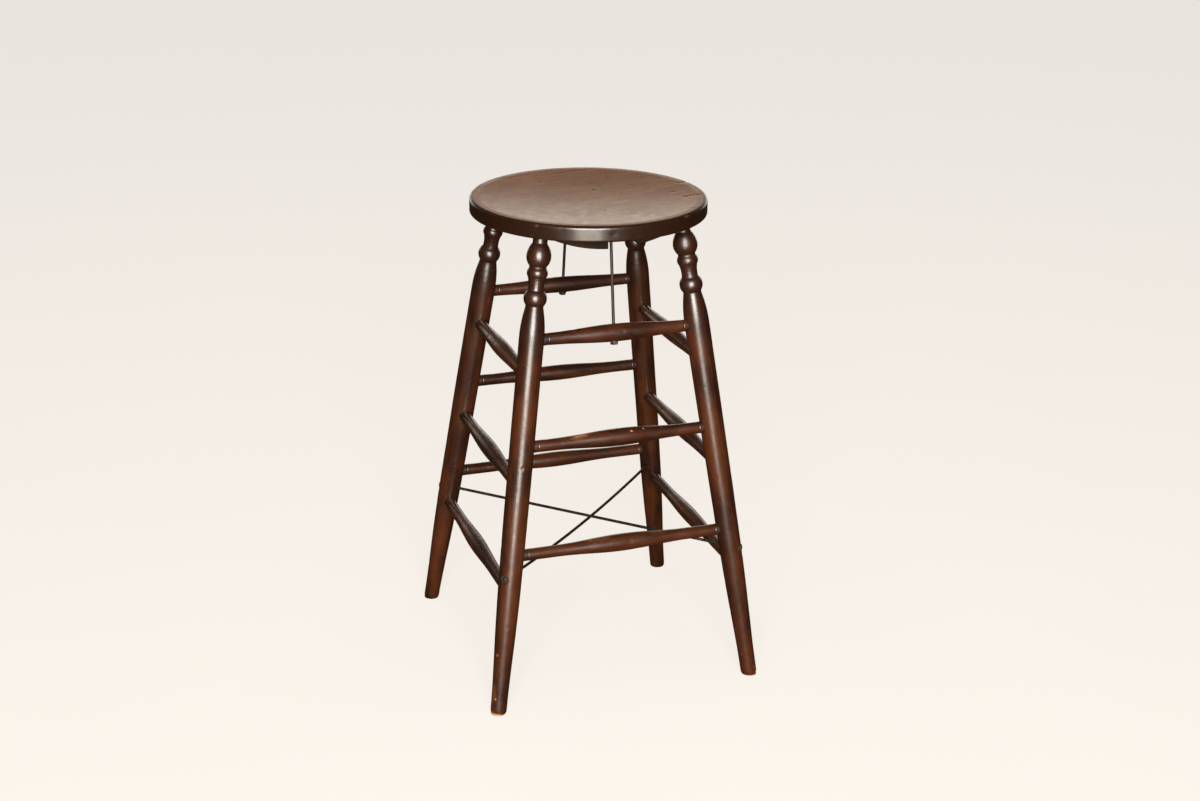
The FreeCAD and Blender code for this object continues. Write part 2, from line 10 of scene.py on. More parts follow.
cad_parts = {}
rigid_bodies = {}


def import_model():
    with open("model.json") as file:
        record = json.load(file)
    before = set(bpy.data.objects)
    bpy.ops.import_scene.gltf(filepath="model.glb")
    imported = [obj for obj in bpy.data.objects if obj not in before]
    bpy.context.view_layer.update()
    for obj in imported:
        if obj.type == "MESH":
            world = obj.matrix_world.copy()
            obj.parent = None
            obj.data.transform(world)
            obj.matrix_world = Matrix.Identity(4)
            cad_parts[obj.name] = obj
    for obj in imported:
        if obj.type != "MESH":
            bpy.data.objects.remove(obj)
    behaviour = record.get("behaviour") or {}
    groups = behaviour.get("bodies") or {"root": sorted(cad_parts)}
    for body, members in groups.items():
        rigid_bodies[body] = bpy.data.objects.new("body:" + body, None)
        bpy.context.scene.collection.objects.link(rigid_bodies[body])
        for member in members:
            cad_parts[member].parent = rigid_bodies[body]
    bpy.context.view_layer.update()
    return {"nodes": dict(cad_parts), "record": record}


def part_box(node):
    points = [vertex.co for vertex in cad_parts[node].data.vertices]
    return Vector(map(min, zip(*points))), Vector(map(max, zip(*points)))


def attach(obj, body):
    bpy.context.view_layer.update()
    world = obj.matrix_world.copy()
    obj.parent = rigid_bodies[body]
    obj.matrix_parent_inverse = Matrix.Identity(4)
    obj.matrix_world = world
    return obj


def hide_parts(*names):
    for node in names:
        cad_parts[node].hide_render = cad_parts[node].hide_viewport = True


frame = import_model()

# A tall turned stool. The CAD frame gives every place and size. The wooden pieces are built again
# here as finer meshes with hand-turned unevenness, knocks and wear. All lengths are in metres.

MM = 0.001

SIDES = {"front_left": (-1, -1), "front_right": (1, -1), "back_left": (-1, 1), "back_right": (1, 1)}
TIERS = ("top", "middle", "bottom")
RUNG_SIDES = ("front", "back", "left", "right")
TIE_SIDES = ("front", "back")


# ---- places and sizes read from the frame ----

def middle(node):
    """The centre of a CAD node's box."""
    low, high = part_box(node)
    return (low + high) / 2


def rung_name(side, tier):
    """The name of a rung's CAD node."""
    return "rung_{}_{}".format(side, tier)


FOOT_MOUNTS = {mount["name"]: Vector(mount["pos_m"]) for mount in frame["record"]["mounts"]}
LEG_SPREAD = FOOT_MOUNTS["foot_front_right"].x
TOP_RUNG = middle("rung_front_top")
BOTTOM_RUNG = middle("rung_front_bottom")
LEG_LEAN = (TOP_RUNG.y - BOTTOM_RUNG.y) / (TOP_RUNG.z - BOTTOM_RUNG.z)
LEG_STRETCH = sqrt(1 + 2 * LEG_LEAN ** 2)
LEG_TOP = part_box("leg_front_left")[1].z

SEAT_LOW, SEAT_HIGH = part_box("seat")
SEAT_RADIUS = SEAT_HIGH.x
SEAT_UNDERSIDE = SEAT_LOW.z
SEAT_TOP = SEAT_HIGH.z

ROD_HEIGHT = middle("cross_rod_straight").z
SOCKET_GAP = 0.1 * MM


def leg_reach(height):
    """Distance from the stool's centre planes to a leg's axis."""
    return LEG_SPREAD - LEG_LEAN * height


def leg_place(side):
    """The matrix that puts a leg built along +Z on its axis, with its foot on the floor."""
    across, back = SIDES[side]
    foot = FOOT_MOUNTS["foot_" + side]
    direction = Vector((-across * LEG_LEAN, -back * LEG_LEAN, 1)).normalized()
    turn = Vector((0, 0, 1)).rotation_difference(direction)
    return Matrix.Translation(foot) @ turn.to_matrix().to_4x4()


def rung_place(node):
    """The matrix that puts a rung built along +Z on its axis, centred between its legs."""
    low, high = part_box(node)
    runs_along_x = high.x - low.x > high.y - low.y
    direction = Vector((1, 0, 0)) if runs_along_x else Vector((0, 1, 0))
    up = Vector((0, 0, 1))
    turn = Matrix((up.cross(direction), up, direction)).transposed()
    return Matrix.Translation(middle(node)) @ turn.to_4x4()


# ---- reading a turned outline from the CAD mesh ----

RAYS = 12
RAY_START = 60 * MM     # from the axis, well outside any turning


def cad_tree(node):
    """A CAD node's surface, ready for rays."""
    mesh = frame["nodes"][node].data
    points = [vertex.co for vertex in mesh.vertices]
    return BVHTree.FromPolygons(points, [face.vertices for face in mesh.polygons])


def read_outline(node, place, stations):
    """Radius of a CAD turning at stations on its axis: the middle value of rays from all round."""
    tree = cad_tree(node)
    origin = place.to_translation()
    rotation = place.to_3x3()
    axis = rotation @ Vector((0, 0, 1))
    radii = []
    for station in stations:
        centre = origin + axis * station
        found = []
        for i in range(RAYS):
            angle = 2 * pi * (i + 0.5) / RAYS
            outward = rotation @ Vector((cos(angle), sin(angle), 0))
            hit = tree.ray_cast(centre + outward * RAY_START, -outward, RAY_START)[0]
            if hit is not None:
                found.append((hit - centre).length)
        radii.append(float(np.median(found)) if len(found) > RAYS // 2 else nan)
    radii = np.array(radii)
    known = ~np.isnan(radii)
    return np.interp(stations, np.array(stations)[known], radii[known])


def evenly(start, end, step):
    """Numbers from start to end, both included, about a step apart."""
    count = max(1, int(round(abs(end - start) / step)))
    return list(np.linspace(start, end, count + 1))


# ---- mesh building ----

NOISE_SEED_STEP = Vector((3.7, -2.3, 5.1))
NOISE_ROUGHNESS = 1.0
NOISE_LACUNARITY = 2.0
NOISE_OCTAVES = 3


def smooth_noise(points, scale, seed):
    """Fractal noise at an array of points, about -1 to 1. The seed moves it elsewhere."""
    shift = NOISE_SEED_STEP * seed
    return np.array([noise.fractal(Vector(point) * scale + shift, NOISE_ROUGHNESS,
                                   NOISE_LACUNARITY, NOISE_OCTAVES) for point in points])


def turned_points(stations, radii, segments):
    """Points on rings round an axis, with each point's radius and angle."""
    angles = np.tile(np.linspace(0, 2 * pi, segments, endpoint=False), len(stations))
    radius = np.repeat(radii, segments)
    heights = np.repeat(stations, segments)
    points = np.stack([radius * np.cos(angles), radius * np.sin(angles), heights], 1)
    return points, radius, angles


def ring_mesh(name, points, rings, segments):
    """A closed mesh through rings of points, with a flat face over the first and last ring."""
    faces = []
    for ring in range(rings - 1):
        low = ring * segments
        high = low + segments
        for i in range(segments):
            following = (i + 1) % segments
            faces.append((low + i, low + following, high + following, high + i))
    last = (rings - 1) * segments
    faces.append(tuple(reversed(range(segments))))
    faces.append(tuple(last + i for i in range(segments)))
    mesh = bpy.data.meshes.new(name)
    mesh.from_pydata(points.tolist(), [], faces)
    mesh.update()
    return mesh


def closed_lathe(name, stations, radii, segments, offset):
    """A closed turned mesh along +Z. Offset gives each point's distance above the outline."""
    points, radius, angles = turned_points(stations, radii, segments)
    radius = radius + offset(points, angles)
    points[:, 0] = radius * np.cos(angles)
    points[:, 1] = radius * np.sin(angles)
    return ring_mesh(name, points, len(stations), segments)


def add_object(name, data):
    """A new object in the scene, holding a mesh, a lamp, a camera or nothing."""
    made = bpy.data.objects.new(name, data)
    bpy.context.scene.collection.objects.link(made)
    return made


def cylinder_mesh(start, end, radius, segments=48):
    """A closed round bar from start to end."""
    axis = end - start
    turn = Vector((0, 0, 1)).rotation_difference(axis)
    mesh = closed_lathe("cutter", [0, axis.length], [radius, radius], segments,
                        lambda flat, angles: 0)
    mesh.transform(Matrix.Translation(start) @ turn.to_matrix().to_4x4())
    return mesh


def block_mesh(low, high):
    """A closed box between two corners."""
    corners = [(x, y, z) for z in (low.z, high.z) for y in (low.y, high.y) for x in (low.x, high.x)]
    faces = [(0, 2, 3, 1), (4, 5, 7, 6), (0, 1, 5, 4), (2, 6, 7, 3), (0, 4, 6, 2), (1, 3, 7, 5)]
    mesh = bpy.data.meshes.new("cutter")
    mesh.from_pydata(corners, [], faces)
    return mesh


def cut(mesh, cutters):
    """The mesh with every cutter's solid taken away."""
    body = add_object("cut_body", mesh)
    tools = [add_object("cut_tool", cutter) for cutter in cutters]
    for tool in tools:
        modifier = body.modifiers.new("cut", "BOOLEAN")
        modifier.operation = "DIFFERENCE"
        modifier.solver = "MANIFOLD"
        modifier.object = tool
    depsgraph = bpy.context.evaluated_depsgraph_get()
    result = bpy.data.meshes.new_from_object(body.evaluated_get(depsgraph))
    for made in [body] + tools:
        bpy.data.objects.remove(made)
    return result


def mesh_points(mesh):
    """A mesh's points as an array, one row for each."""
    points = np.zeros(len(mesh.vertices) * 3)
    mesh.vertices.foreach_get("co", points)
    return points.reshape(-1, 3)


def store(mesh, name, values):
    """Keep a number or a vector for each point, for the materials to read."""
    values = np.asarray(values, dtype=np.float32)
    kind, field = ("FLOAT_VECTOR", "vector") if values.ndim == 2 else ("FLOAT", "value")
    attribute = mesh.attributes.new(name, kind, "POINT")
    attribute.data.foreach_set(field, values.ravel())


SHARP_ANGLE = radians(38)


def finish_piece(name, mesh, place, material, node):
    """Shade a mesh, put it in its place on the stool and let it stand for its CAD node."""
    mesh.name = name
    mesh.materials.clear()
    mesh.materials.append(material)
    mesh.polygons.foreach_set("use_smooth", [True] * len(mesh.polygons))
    mesh.transform(place)
    mesh.set_sharp_from_angle(angle=SHARP_ANGLE)
    made = add_object(name, mesh)
    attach(made, "root")
    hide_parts(node)


# ---- node materials ----

def add_node(tree, kind, inputs=None, **settings):
    """A shader node. Each input is a plain value or another node's output."""
    node = tree.nodes.new("ShaderNode" + kind)
    for name, value in settings.items():
        setattr(node, name, value)
    for name, value in (inputs or {}).items():
        if isinstance(value, bpy.types.NodeSocket):
            tree.links.new(value, node.inputs[name])
        else:
            node.inputs[name].default_value = value
    return node


def colour(red, green, blue):
    """A linear colour with full opacity."""
    return (red, green, blue, 1.0)


# The mix node's sockets for colours.
MIX_FIRST = 6
MIX_SECOND = 7
MIX_RESULT = 2


def mixed(tree, share, first, second):
    """Two colours mixed by a share."""
    inputs = {0: share, MIX_FIRST: first, MIX_SECOND: second}
    return add_node(tree, "Mix", inputs, data_type="RGBA").outputs[MIX_RESULT]


def calculated(tree, operation, first, second=0.0, clamp=False):
    """A sum, product or other operation on two values."""
    node = add_node(tree, "Math", {0: first, 1: second}, operation=operation, use_clamp=clamp)
    return node.outputs[0]


def product(tree, first, second):
    """Two values multiplied."""
    return calculated(tree, "MULTIPLY", first, second)


def with_added(tree, base, value, share, clamp=False):
    """A base value plus a share of another."""
    part = product(tree, value, share)
    return calculated(tree, "ADD", base, part, clamp)


def around_zero(tree, noise_output):
    """Noise of 0 to 1 moved down to lie evenly about zero."""
    return calculated(tree, "SUBTRACT", noise_output, 0.5)


def ranged(tree, value, from_low, from_high, to_low=0.0, to_high=1.0):
    """A value moved smoothly from one range to another."""
    node = add_node(tree, "MapRange", {0: value, 1: from_low, 2: from_high, 3: to_low, 4: to_high},
                    interpolation_type="SMOOTHSTEP")
    return node.outputs[0]


def stretched(tree, vector, scale):
    """A vector scaled along each axis."""
    return add_node(tree, "VectorMath", {0: vector, 1: scale}, operation="MULTIPLY").outputs[0]


def noise_value(tree, vector, scale, detail=3.0, roughness=0.5, distortion=0.0):
    """Noise of 0 to 1. The scale is in waves per metre."""
    node = add_node(tree, "TexNoise", {"Vector": vector, "Scale": scale, "Detail": detail,
                                       "Roughness": roughness, "Distortion": distortion})
    return node.outputs["Fac"]


def attribute_value(tree, name, output="Fac"):
    """What a mesh keeps for each point under a name."""
    return add_node(tree, "Attribute", attribute_name=name).outputs[output]


def bumped(tree, layers):
    """A normal from several heights, each with its strength and its distance."""
    normal = None
    for height, strength, distance in layers:
        inputs = {"Height": height, "Strength": strength, "Distance": distance}
        if normal is not None:
            inputs["Normal"] = normal
        normal = add_node(tree, "Bump", inputs).outputs["Normal"]
    return normal


def new_material(name):
    """A material with one surface, and its node tree."""
    material = bpy.data.materials.new(name)
    material.use_nodes = True
    tree = material.node_tree
    tree.nodes.clear()
    surface = add_node(tree, "BsdfPrincipled")
    add_node(tree, "OutputMaterial", {"Surface": surface.outputs[0]})
    return material, tree, surface


def connect(tree, surface, **inputs):
    """Set or link the surface's inputs. A name's underscores stand for spaces."""
    for name, value in inputs.items():
        socket = surface.inputs[name.replace("_", " ")]
        if isinstance(value, bpy.types.NodeSocket):
            tree.links.new(value, socket)
        else:
            socket.default_value = value


def stored_grain(tree):
    """Grain coordinates that a mesh keeps for each point."""
    return attribute_value(tree, "grain", "Vector")


def board_grain(tree):
    """Grain coordinates for a board that lies along X, so that its fibres run along the third."""
    split = add_node(tree, "SeparateXYZ", {0: add_node(tree, "TexCoord").outputs["Object"]})
    turned = add_node(tree, "CombineXYZ", {0: split.outputs["Y"], 1: split.outputs["Z"],
                                           2: split.outputs["X"]})
    return turned.outputs[0]


# Spacing of the wood's patterns, in waves per metre across the grain.
BEND_SCALE = 22.0
FIBRE_SCALE = 900.0
BAND_SCALE = 130.0
PORE_SCALE = 1500.0
PATCH_SCALE = 26.0
SPECK_SCALE = 420.0
DULL_SCALE = 60.0
KNOCK_SCALE = 95.0
# Where late wood is darkest in a growth ring, and where it starts to fade into the next.
LATE_WOOD_FULL = 0.90
LATE_WOOD_FADE = 0.93
# The wear at which polish starts to thin and is thinnest, and at which wood shows and is bare.
THIN_POLISH = (0.22, 0.60)
BARE_WOOD = (0.52, 0.80)
THIN_POLISH_SHARE = 0.75
# The dirt that starts to show and that hides the wood, and how well it hides it.
DIRT_RANGE = (0.25, 0.85)
DIRT_SHARE = 0.9
DIRT_SPECKLE = 0.5
# Roughness that bare wood and dirt add to polish.
BARE_ROUGHNESS = 0.22
DIRT_ROUGHNESS = 0.25


def drawn_out(tree, place, squeeze, scale, *shape):
    """Noise drawn out along the fibres, by squeezing the third grain coordinate."""
    return noise_value(tree, stretched(tree, place, (1.0, 1.0, squeeze)), scale, *shape)


def late_wood(tree, place, look):
    """The dark part of each growth ring, round a pith that runs along the third axis."""
    bend = drawn_out(tree, place, 0.06, BEND_SCALE, 2.0)
    from_pith = stretched(tree, place, (1.0, 1.0, 0.0))
    distance = add_node(tree, "VectorMath", {0: from_pith}, operation="LENGTH").outputs["Value"]
    distance = with_added(tree, distance, bend, look["bend"])
    ring = calculated(tree, "FRACT", product(tree, distance, 1 / look["ring_width"]))
    return product(tree, ranged(tree, ring, look["ring_start"], LATE_WOOD_FULL),
                   ranged(tree, ring, 1.0, LATE_WOOD_FADE))


def stained_colour(tree, place, look, fibres, bands, stain_and_shade):
    """The colour of stained wood under its polish: patches, bands, fibres, rings and pores."""
    patches = drawn_out(tree, place, 0.35, PATCH_SCALE, 3.0, 0.55, 0.4)
    tone = product(tree, ranged(tree, patches, 0.34, 0.68), look["patchiness"])
    tone = with_added(tree, tone, bands, look["banding"])
    tone = with_added(tree, tone, around_zero(tree, fibres), look["fibre"])
    tone = with_added(tree, tone, late_wood(tree, place, look), -look["ring_strength"], True)
    body = mixed(tree, tone, look["dark"], look["mid"])
    pores = ranged(tree, drawn_out(tree, place, 0.035, PORE_SCALE, 1.0, 0.4), 0.60, 0.70)
    body = mixed(tree, product(tree, pores, look["pores"]), body, look["pore"])
    # Mix towards the stain colour: a real darker stain on the seat's rim, and painted shade under
    # the seat on the legs' turnings.
    return mixed(tree, stain_and_shade, body, look["stain_and_shade"])


def polished_roughness(tree, dull, look, bare, stain_and_shade, dirt):
    """Roughness of the wood, and of the clear coat over it."""
    wood = ranged(tree, dull, 0.3, 0.75, look["smooth"], look["rough"])
    wood = with_added(tree, wood, bare, BARE_ROUGHNESS)
    wood = with_added(tree, wood, stain_and_shade, look["stain_rough"])
    wood = with_added(tree, wood, dirt, DIRT_ROUGHNESS, True)
    return wood, with_added(tree, look["coat_rough"], stain_and_shade, look["stain_rough"])


def polish_weight(tree, dull, look, bare, stain_and_shade, dirt):
    """How much clear coat is left. Bare wood and dirt have none."""
    full = with_added(tree, look["coat"], stain_and_shade, look["stain_coat"])
    polish = product(tree, ranged(tree, dull, 0.75, 0.35, 0.55, 1.0), full)
    lost = calculated(tree, "MAXIMUM", bare, dirt)
    return product(tree, polish, calculated(tree, "SUBTRACT", 1.0, lost, True))


def wood_material(name, look, grain_place=stored_grain):
    """Stained and polished wood whose fibres run along the third of its grain coordinates."""
    material, tree, surface = new_material(name)
    place = grain_place(tree)
    stain_and_shade = attribute_value(tree, "stain_and_shade")
    fibres = drawn_out(tree, place, 0.03, FIBRE_SCALE, 4.0, 0.6)
    bands = drawn_out(tree, place, 0.05, BAND_SCALE, 3.0, 0.55)
    specks = around_zero(tree, noise_value(tree, place, SPECK_SCALE, 2.0, 0.6))
    dull = noise_value(tree, place, DULL_SCALE, 4.0, 0.6)

    wear = with_added(tree, attribute_value(tree, "wear"), specks, look["speckle"])
    thin = product(tree, ranged(tree, wear, *THIN_POLISH), THIN_POLISH_SHARE)
    bare = ranged(tree, wear, *BARE_WOOD)
    dirt = with_added(tree, attribute_value(tree, "grime"), specks, DIRT_SPECKLE)
    dirt = ranged(tree, dirt, *DIRT_RANGE)

    body = stained_colour(tree, place, look, fibres, bands, stain_and_shade)
    body = mixed(tree, thin, body, look["worn"])
    body = mixed(tree, bare, body, mixed(tree, fibres, look["bare_dark"], look["bare_light"]))
    body = mixed(tree, product(tree, dirt, DIRT_SHARE), body, look["grime"])
    roughness, coat_roughness = polished_roughness(tree, dull, look, bare, stain_and_shade, dirt)

    knocks = add_node(tree, "TexVoronoi", {"Vector": place, "Scale": KNOCK_SCALE}, feature="F1")
    knocks = ranged(tree, knocks.outputs["Distance"], 0.05, 0.22)
    normal = bumped(tree, [
        (fibres, look["fibre_bump"], 0.25 * MM),
        (bands, look["band_bump"], 0.5 * MM),
        (knocks, look["knocks"], 0.3 * MM),
        (bare, -0.35, 0.35 * MM),
    ])
    connect(tree, surface, Base_Color=body, Roughness=roughness, Normal=normal,
            Coat_Weight=polish_weight(tree, dull, look, bare, stain_and_shade, dirt),
            Coat_Roughness=coat_roughness, Coat_IOR=1.5, Specular_IOR_Level=look["gloss"])
    return material


TURNED_LOOK = dict(
    ring_width=2.4 * MM, ring_strength=0.20, ring_start=0.35, bend=6 * MM,
    patchiness=0.62, banding=0.40, fibre=0.34, speckle=0.34, pores=0.45,
    fibre_bump=0.06, band_bump=0.10, knocks=0.04,
    dark=colour(0.0085, 0.0024, 0.0010), mid=colour(0.060, 0.0155, 0.0040),
    # The stain colour also serves as painted shade on the legs' turnings under the seat.
    pore=colour(0.003, 0.0015, 0.001), stain_and_shade=colour(0.010, 0.0032, 0.0014),
    worn=colour(0.105, 0.036, 0.012), grime=colour(0.003, 0.0018, 0.0012),
    bare_dark=colour(0.20, 0.095, 0.036), bare_light=colour(0.42, 0.24, 0.10),
    smooth=0.30, rough=0.42, gloss=0.36, coat=0.62, coat_rough=0.25,
    stain_rough=0.02, stain_coat=0.0)
SEAT_LOOK = dict(
    TURNED_LOOK, ring_width=11.0 * MM, ring_strength=0.55, ring_start=0.66, bend=26 * MM,
    patchiness=0.22, banding=0.62, fibre=0.90, speckle=0.08, pores=0.85,
    fibre_bump=0.05, band_bump=0.05, knocks=0.0,
    dark=colour(0.080, 0.033, 0.0155), mid=colour(0.245, 0.122, 0.063),
    pore=colour(0.03, 0.012, 0.006), worn=colour(0.235, 0.118, 0.062),
    smooth=0.27, rough=0.34, gloss=0.30, coat=0.34, coat_rough=0.18,
    stain_rough=0.03, stain_coat=0.38)
# The bearers under the seat: a dull unpolished finish, with colours darkened further as painted
# shade under the seat.
BEARER_DULL_AND_SHADED_LOOK = dict(
    TURNED_LOOK, coat=0.0, smooth=0.55, rough=0.75, gloss=0.12,
    dark=colour(0.004, 0.0018, 0.001), mid=colour(0.022, 0.0085, 0.004))

IRON_GRAIN_SCALE = 700.0
IRON_BLOTCH_SCALE = 90.0
RUBBED_IRON = 2.1       # how many times paler rubbed iron is than dark iron
CLEAN_METALLIC = 0.85
RUSTED_METALLIC = 0.1
RUST_DARK = colour(0.045, 0.018, 0.008)
RUST_LIGHT = colour(0.13, 0.055, 0.022)


def iron_material(name, tint, smooth, rough, rust_share):
    """Old dark iron: a hammered, oiled surface with a little brown rust."""
    material, tree, surface = new_material(name)
    place = add_node(tree, "TexCoord").outputs["Object"]
    grain = noise_value(tree, place, IRON_GRAIN_SCALE, 4.0, 0.65)
    blotches = noise_value(tree, place, IRON_BLOTCH_SCALE, 4.0, 0.6, 0.6)
    rust_mask = product(tree, ranged(tree, blotches, 0.48, 0.66), rust_share)
    rubbed = colour(*(part * RUBBED_IRON for part in tint[:3]))
    metal = mixed(tree, grain, tint, rubbed)
    rust = mixed(tree, grain, RUST_DARK, RUST_LIGHT)
    connect(tree, surface, Base_Color=mixed(tree, rust_mask, metal, rust),
            Metallic=ranged(tree, rust_mask, 0.1, 0.7, CLEAN_METALLIC, RUSTED_METALLIC),
            Roughness=ranged(tree, blotches, 0.3, 0.7, smooth, rough),
            Normal=bumped(tree, [(grain, 0.3, 0.15 * MM), (blotches, 0.35, 0.4 * MM)]))
    return material


# ---- knocks, wear and dirt ----

# Small random knocks in turned wood, in millimetres.
KNOCK_RADII = (1.8, 4.5)
KNOCK_DEPTHS = (0.15, 0.45)


def knock_depth(points, knocks):
    """How far knocks press into a surface. Each knock is (place, radius, depth)."""
    depth = np.zeros(len(points))
    for place, radius, deep in knocks:
        distance = np.linalg.norm(points - np.array(place), axis=1) / radius
        depth += deep * np.exp(-distance ** 2)
    return depth


def chipped(points, knocks, full_depth):
    """How chipped points are, from 0 to 1. Knocks as deep as full_depth chip them fully."""
    return np.clip(knock_depth(points, knocks) / full_depth, 0, 1)


def random_knocks(picker, count, low, high, outline):
    """Knocks spread over a turned piece between two stations."""
    knocks = []
    for _ in range(count):
        station = picker.uniform(low, high)
        angle = picker.uniform(0, 2 * pi)
        radius = outline(station)
        place = (radius * cos(angle), radius * sin(angle), station)
        width = picker.uniform(*KNOCK_RADII) * MM
        knocks.append((place, width, picker.uniform(*KNOCK_DEPTHS) * MM))
    return knocks


def fade(distance, reach):
    """From 1 at no distance towards 0 far away."""
    return np.exp(-np.clip(distance, 0, None) / reach)


def hollow_share(places, stations, radii, reach, depth):
    """How sunken a turned outline is, from 0 to 1, at places along it: grooves hold dirt."""
    stations = np.array(stations)
    before = np.interp(stations - reach, stations, radii)
    after = np.interp(stations + reach, stations, radii)
    sunk = np.clip(((before + after) / 2 - radii) / depth, 0, 1)
    return np.interp(places, stations, sunk)


# ---- legs ----

LEG_SEGMENTS = 64
LEG_LENGTH = LEG_TOP * LEG_STRETCH
TURNINGS_START = 0.60       # along a leg, where its ball turnings begin
LEG_BELOW_FLOOR = 4 * MM    # spare length, cut off flat at the floor
SHAFT_STEP = 2.2 * MM
TURNING_STEP = 0.7 * MM
leg_stations = (evenly(-LEG_BELOW_FLOOR, TURNINGS_START, SHAFT_STEP)
                + evenly(TURNINGS_START, LEG_LENGTH, TURNING_STEP)[1:])
leg_radii = read_outline("leg_front_left", leg_place("front_left"), leg_stations)


def leg_radius(station):
    """A leg's radius at a distance along it."""
    return float(np.interp(station, leg_stations, leg_radii))


def leg_axis_point(side, height):
    """The point on a leg's axis at a height above the floor."""
    across, back = SIDES[side]
    reach = leg_reach(height)
    return Vector((across * reach, back * reach, height))


def rung_meeting_points(side):
    """Where rungs meet a leg's axis, as (height, direction towards the rung)."""
    across, back = SIDES[side]
    inward = {"front" if back < 0 else "back": Vector((-across, 0, 0)),
              "left" if across < 0 else "right": Vector((0, -back, 0))}
    return [(middle(rung_name(rung_side, tier)).z, direction)
            for rung_side, direction in inward.items() for tier in TIERS]


RUNG_END_STATION = -137.5 * MM      # on a top side rung, inside its leg
RUNG_END_RADIUS = float(read_outline("rung_left_top", rung_place("rung_left_top"),
                                     [RUNG_END_STATION])[0])
SOCKET_END_GAP = 0.5 * MM
RUNG_PAST_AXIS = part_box("rung_front_top")[1].x - leg_reach(TOP_RUNG.z) + SOCKET_END_GAP
ROD_HOLE_RADIUS = 2.7 * MM
ROD_SPOT_RADIUS = 6.6 * MM
ROD_SPOT_DEPTH = 1.0 * MM
CUTTER_REACH = 40 * MM      # from a leg's axis to well outside it


def leg_cutters(side):
    """Solids for a leg's rung sockets, its rod hole and the flat for the rod's washer."""
    across, back = SIDES[side]
    cutters = []
    for height, inward in rung_meeting_points(side):
        axis_point = leg_axis_point(side, height)
        cutters.append(cylinder_mesh(axis_point - inward * RUNG_PAST_AXIS,
                                     axis_point + inward * CUTTER_REACH,
                                     RUNG_END_RADIUS + SOCKET_GAP))
    rod_point = leg_axis_point(side, ROD_HEIGHT)
    outward = Vector((across, back, 0)).normalized()
    outside = rod_point + outward * CUTTER_REACH
    flat_at = leg_radius(ROD_HEIGHT * LEG_STRETCH) - ROD_SPOT_DEPTH
    cutters.append(cylinder_mesh(rod_point - outward * CUTTER_REACH, outside, ROD_HOLE_RADIUS))
    cutters.append(cylinder_mesh(rod_point + outward * flat_at, outside, ROD_SPOT_RADIUS))
    return cutters


# Larger dings in a leg, as (place along it, turn round its axis, radius, depth), in millimetres
# and degrees.
LEG_DINGS = {
    "front_left": [(390, -96, 2.0, 1.0), (95, -147, 2.6, 0.5), (43, -46, 1.4, 0.4),
                   (25, -136, 1.6, 0.4)],
    "front_right": [(160, -70, 2.0, 0.5), (12, -60, 2.4, 0.6)],
}
LEG_KNOCKS = 30
LEG_KNOCK_ZONE = (0.01, 0.70)
LEG_UNROUND = 0.16 * MM
LEG_WANDER = 0.20 * MM
FOOT_ROUND_HEIGHT = 7 * MM
FOOT_RUB = 0.8 * MM
LEG_TRUE_TOP = 34 * MM      # the tenon end of a leg, which stays truly round
# How much each kind of wear bares a leg's wood, from 0 to 1, and how far it reaches.
FOOT_WEAR = 0.62
FOOT_WEAR_REACH = 2.6 * MM
SCUFF_WEAR = 0.34
SCUFF_REACH = 120 * MM
LEG_RUB_WEAR = 0.22
LEG_CHIP_WEAR = 0.42
DING_WEAR = 0.62
LEG_GRIME = 0.7
TURNING_STAIN_AND_SHADE = 0.62        # how much darker a leg is coloured at its turnings: partly a darker stain, partly painted shade from the seat above


def leg_dings(side):
    """A leg's larger dings, each as (place, radius, depth)."""
    dings = []
    for along, degrees, width, depth in LEG_DINGS.get(side, []):
        station = along * MM
        radius = leg_radius(station)
        turn = radians(degrees)
        place = (radius * cos(turn), radius * sin(turn), station)
        dings.append((place, width * MM, depth * MM))
    return dings


def leg_wear(points, knocks, dings, seed):
    """Where a leg's polish is worn: bare at the foot, scuffed above it, rubbed and chipped."""
    heights = points[:, 2]
    patchy = smooth_noise(points * [1, 1, 0.5], 38, seed + 3)
    foot = FOOT_WEAR * fade(heights, FOOT_WEAR_REACH) * (1 + 0.6 * patchy)
    scuffs = SCUFF_WEAR * np.exp(-heights / SCUFF_REACH) * np.clip(patchy, 0, 1)
    rubbed = LEG_RUB_WEAR * np.clip(patchy - 0.15, 0, 1)
    chips = chipped(points, knocks, 0.42 * MM) * LEG_CHIP_WEAR
    chips += chipped(points, dings, 0.5 * MM) * DING_WEAR
    return foot + scuffs + rubbed + chips


def leg_grime(points, side, to_leg):
    """Dirt in a leg's grooves, under the seat and round its joints."""
    heights = points[:, 2]
    sunk = hollow_share(heights, leg_stations, leg_radii, 2.2 * MM, 0.9 * MM)
    near_seat = fade(SEAT_UNDERSIDE * LEG_STRETCH - heights, 5 * MM)
    joints = np.zeros(len(points))
    for height, inward in rung_meeting_points(side):
        relative = points - np.array(to_leg @ leg_axis_point(side, height))
        toward = np.array(to_leg.to_3x3() @ inward)
        along = relative @ toward
        aside = np.linalg.norm(relative - np.outer(along, toward), axis=1)
        near_rung = fade(aside - RUNG_END_RADIUS, 2.2 * MM)
        joints = np.maximum(joints, np.where(along > 0, near_rung, 0))
    return np.clip((sunk + near_seat + joints) * LEG_GRIME, 0, 1)


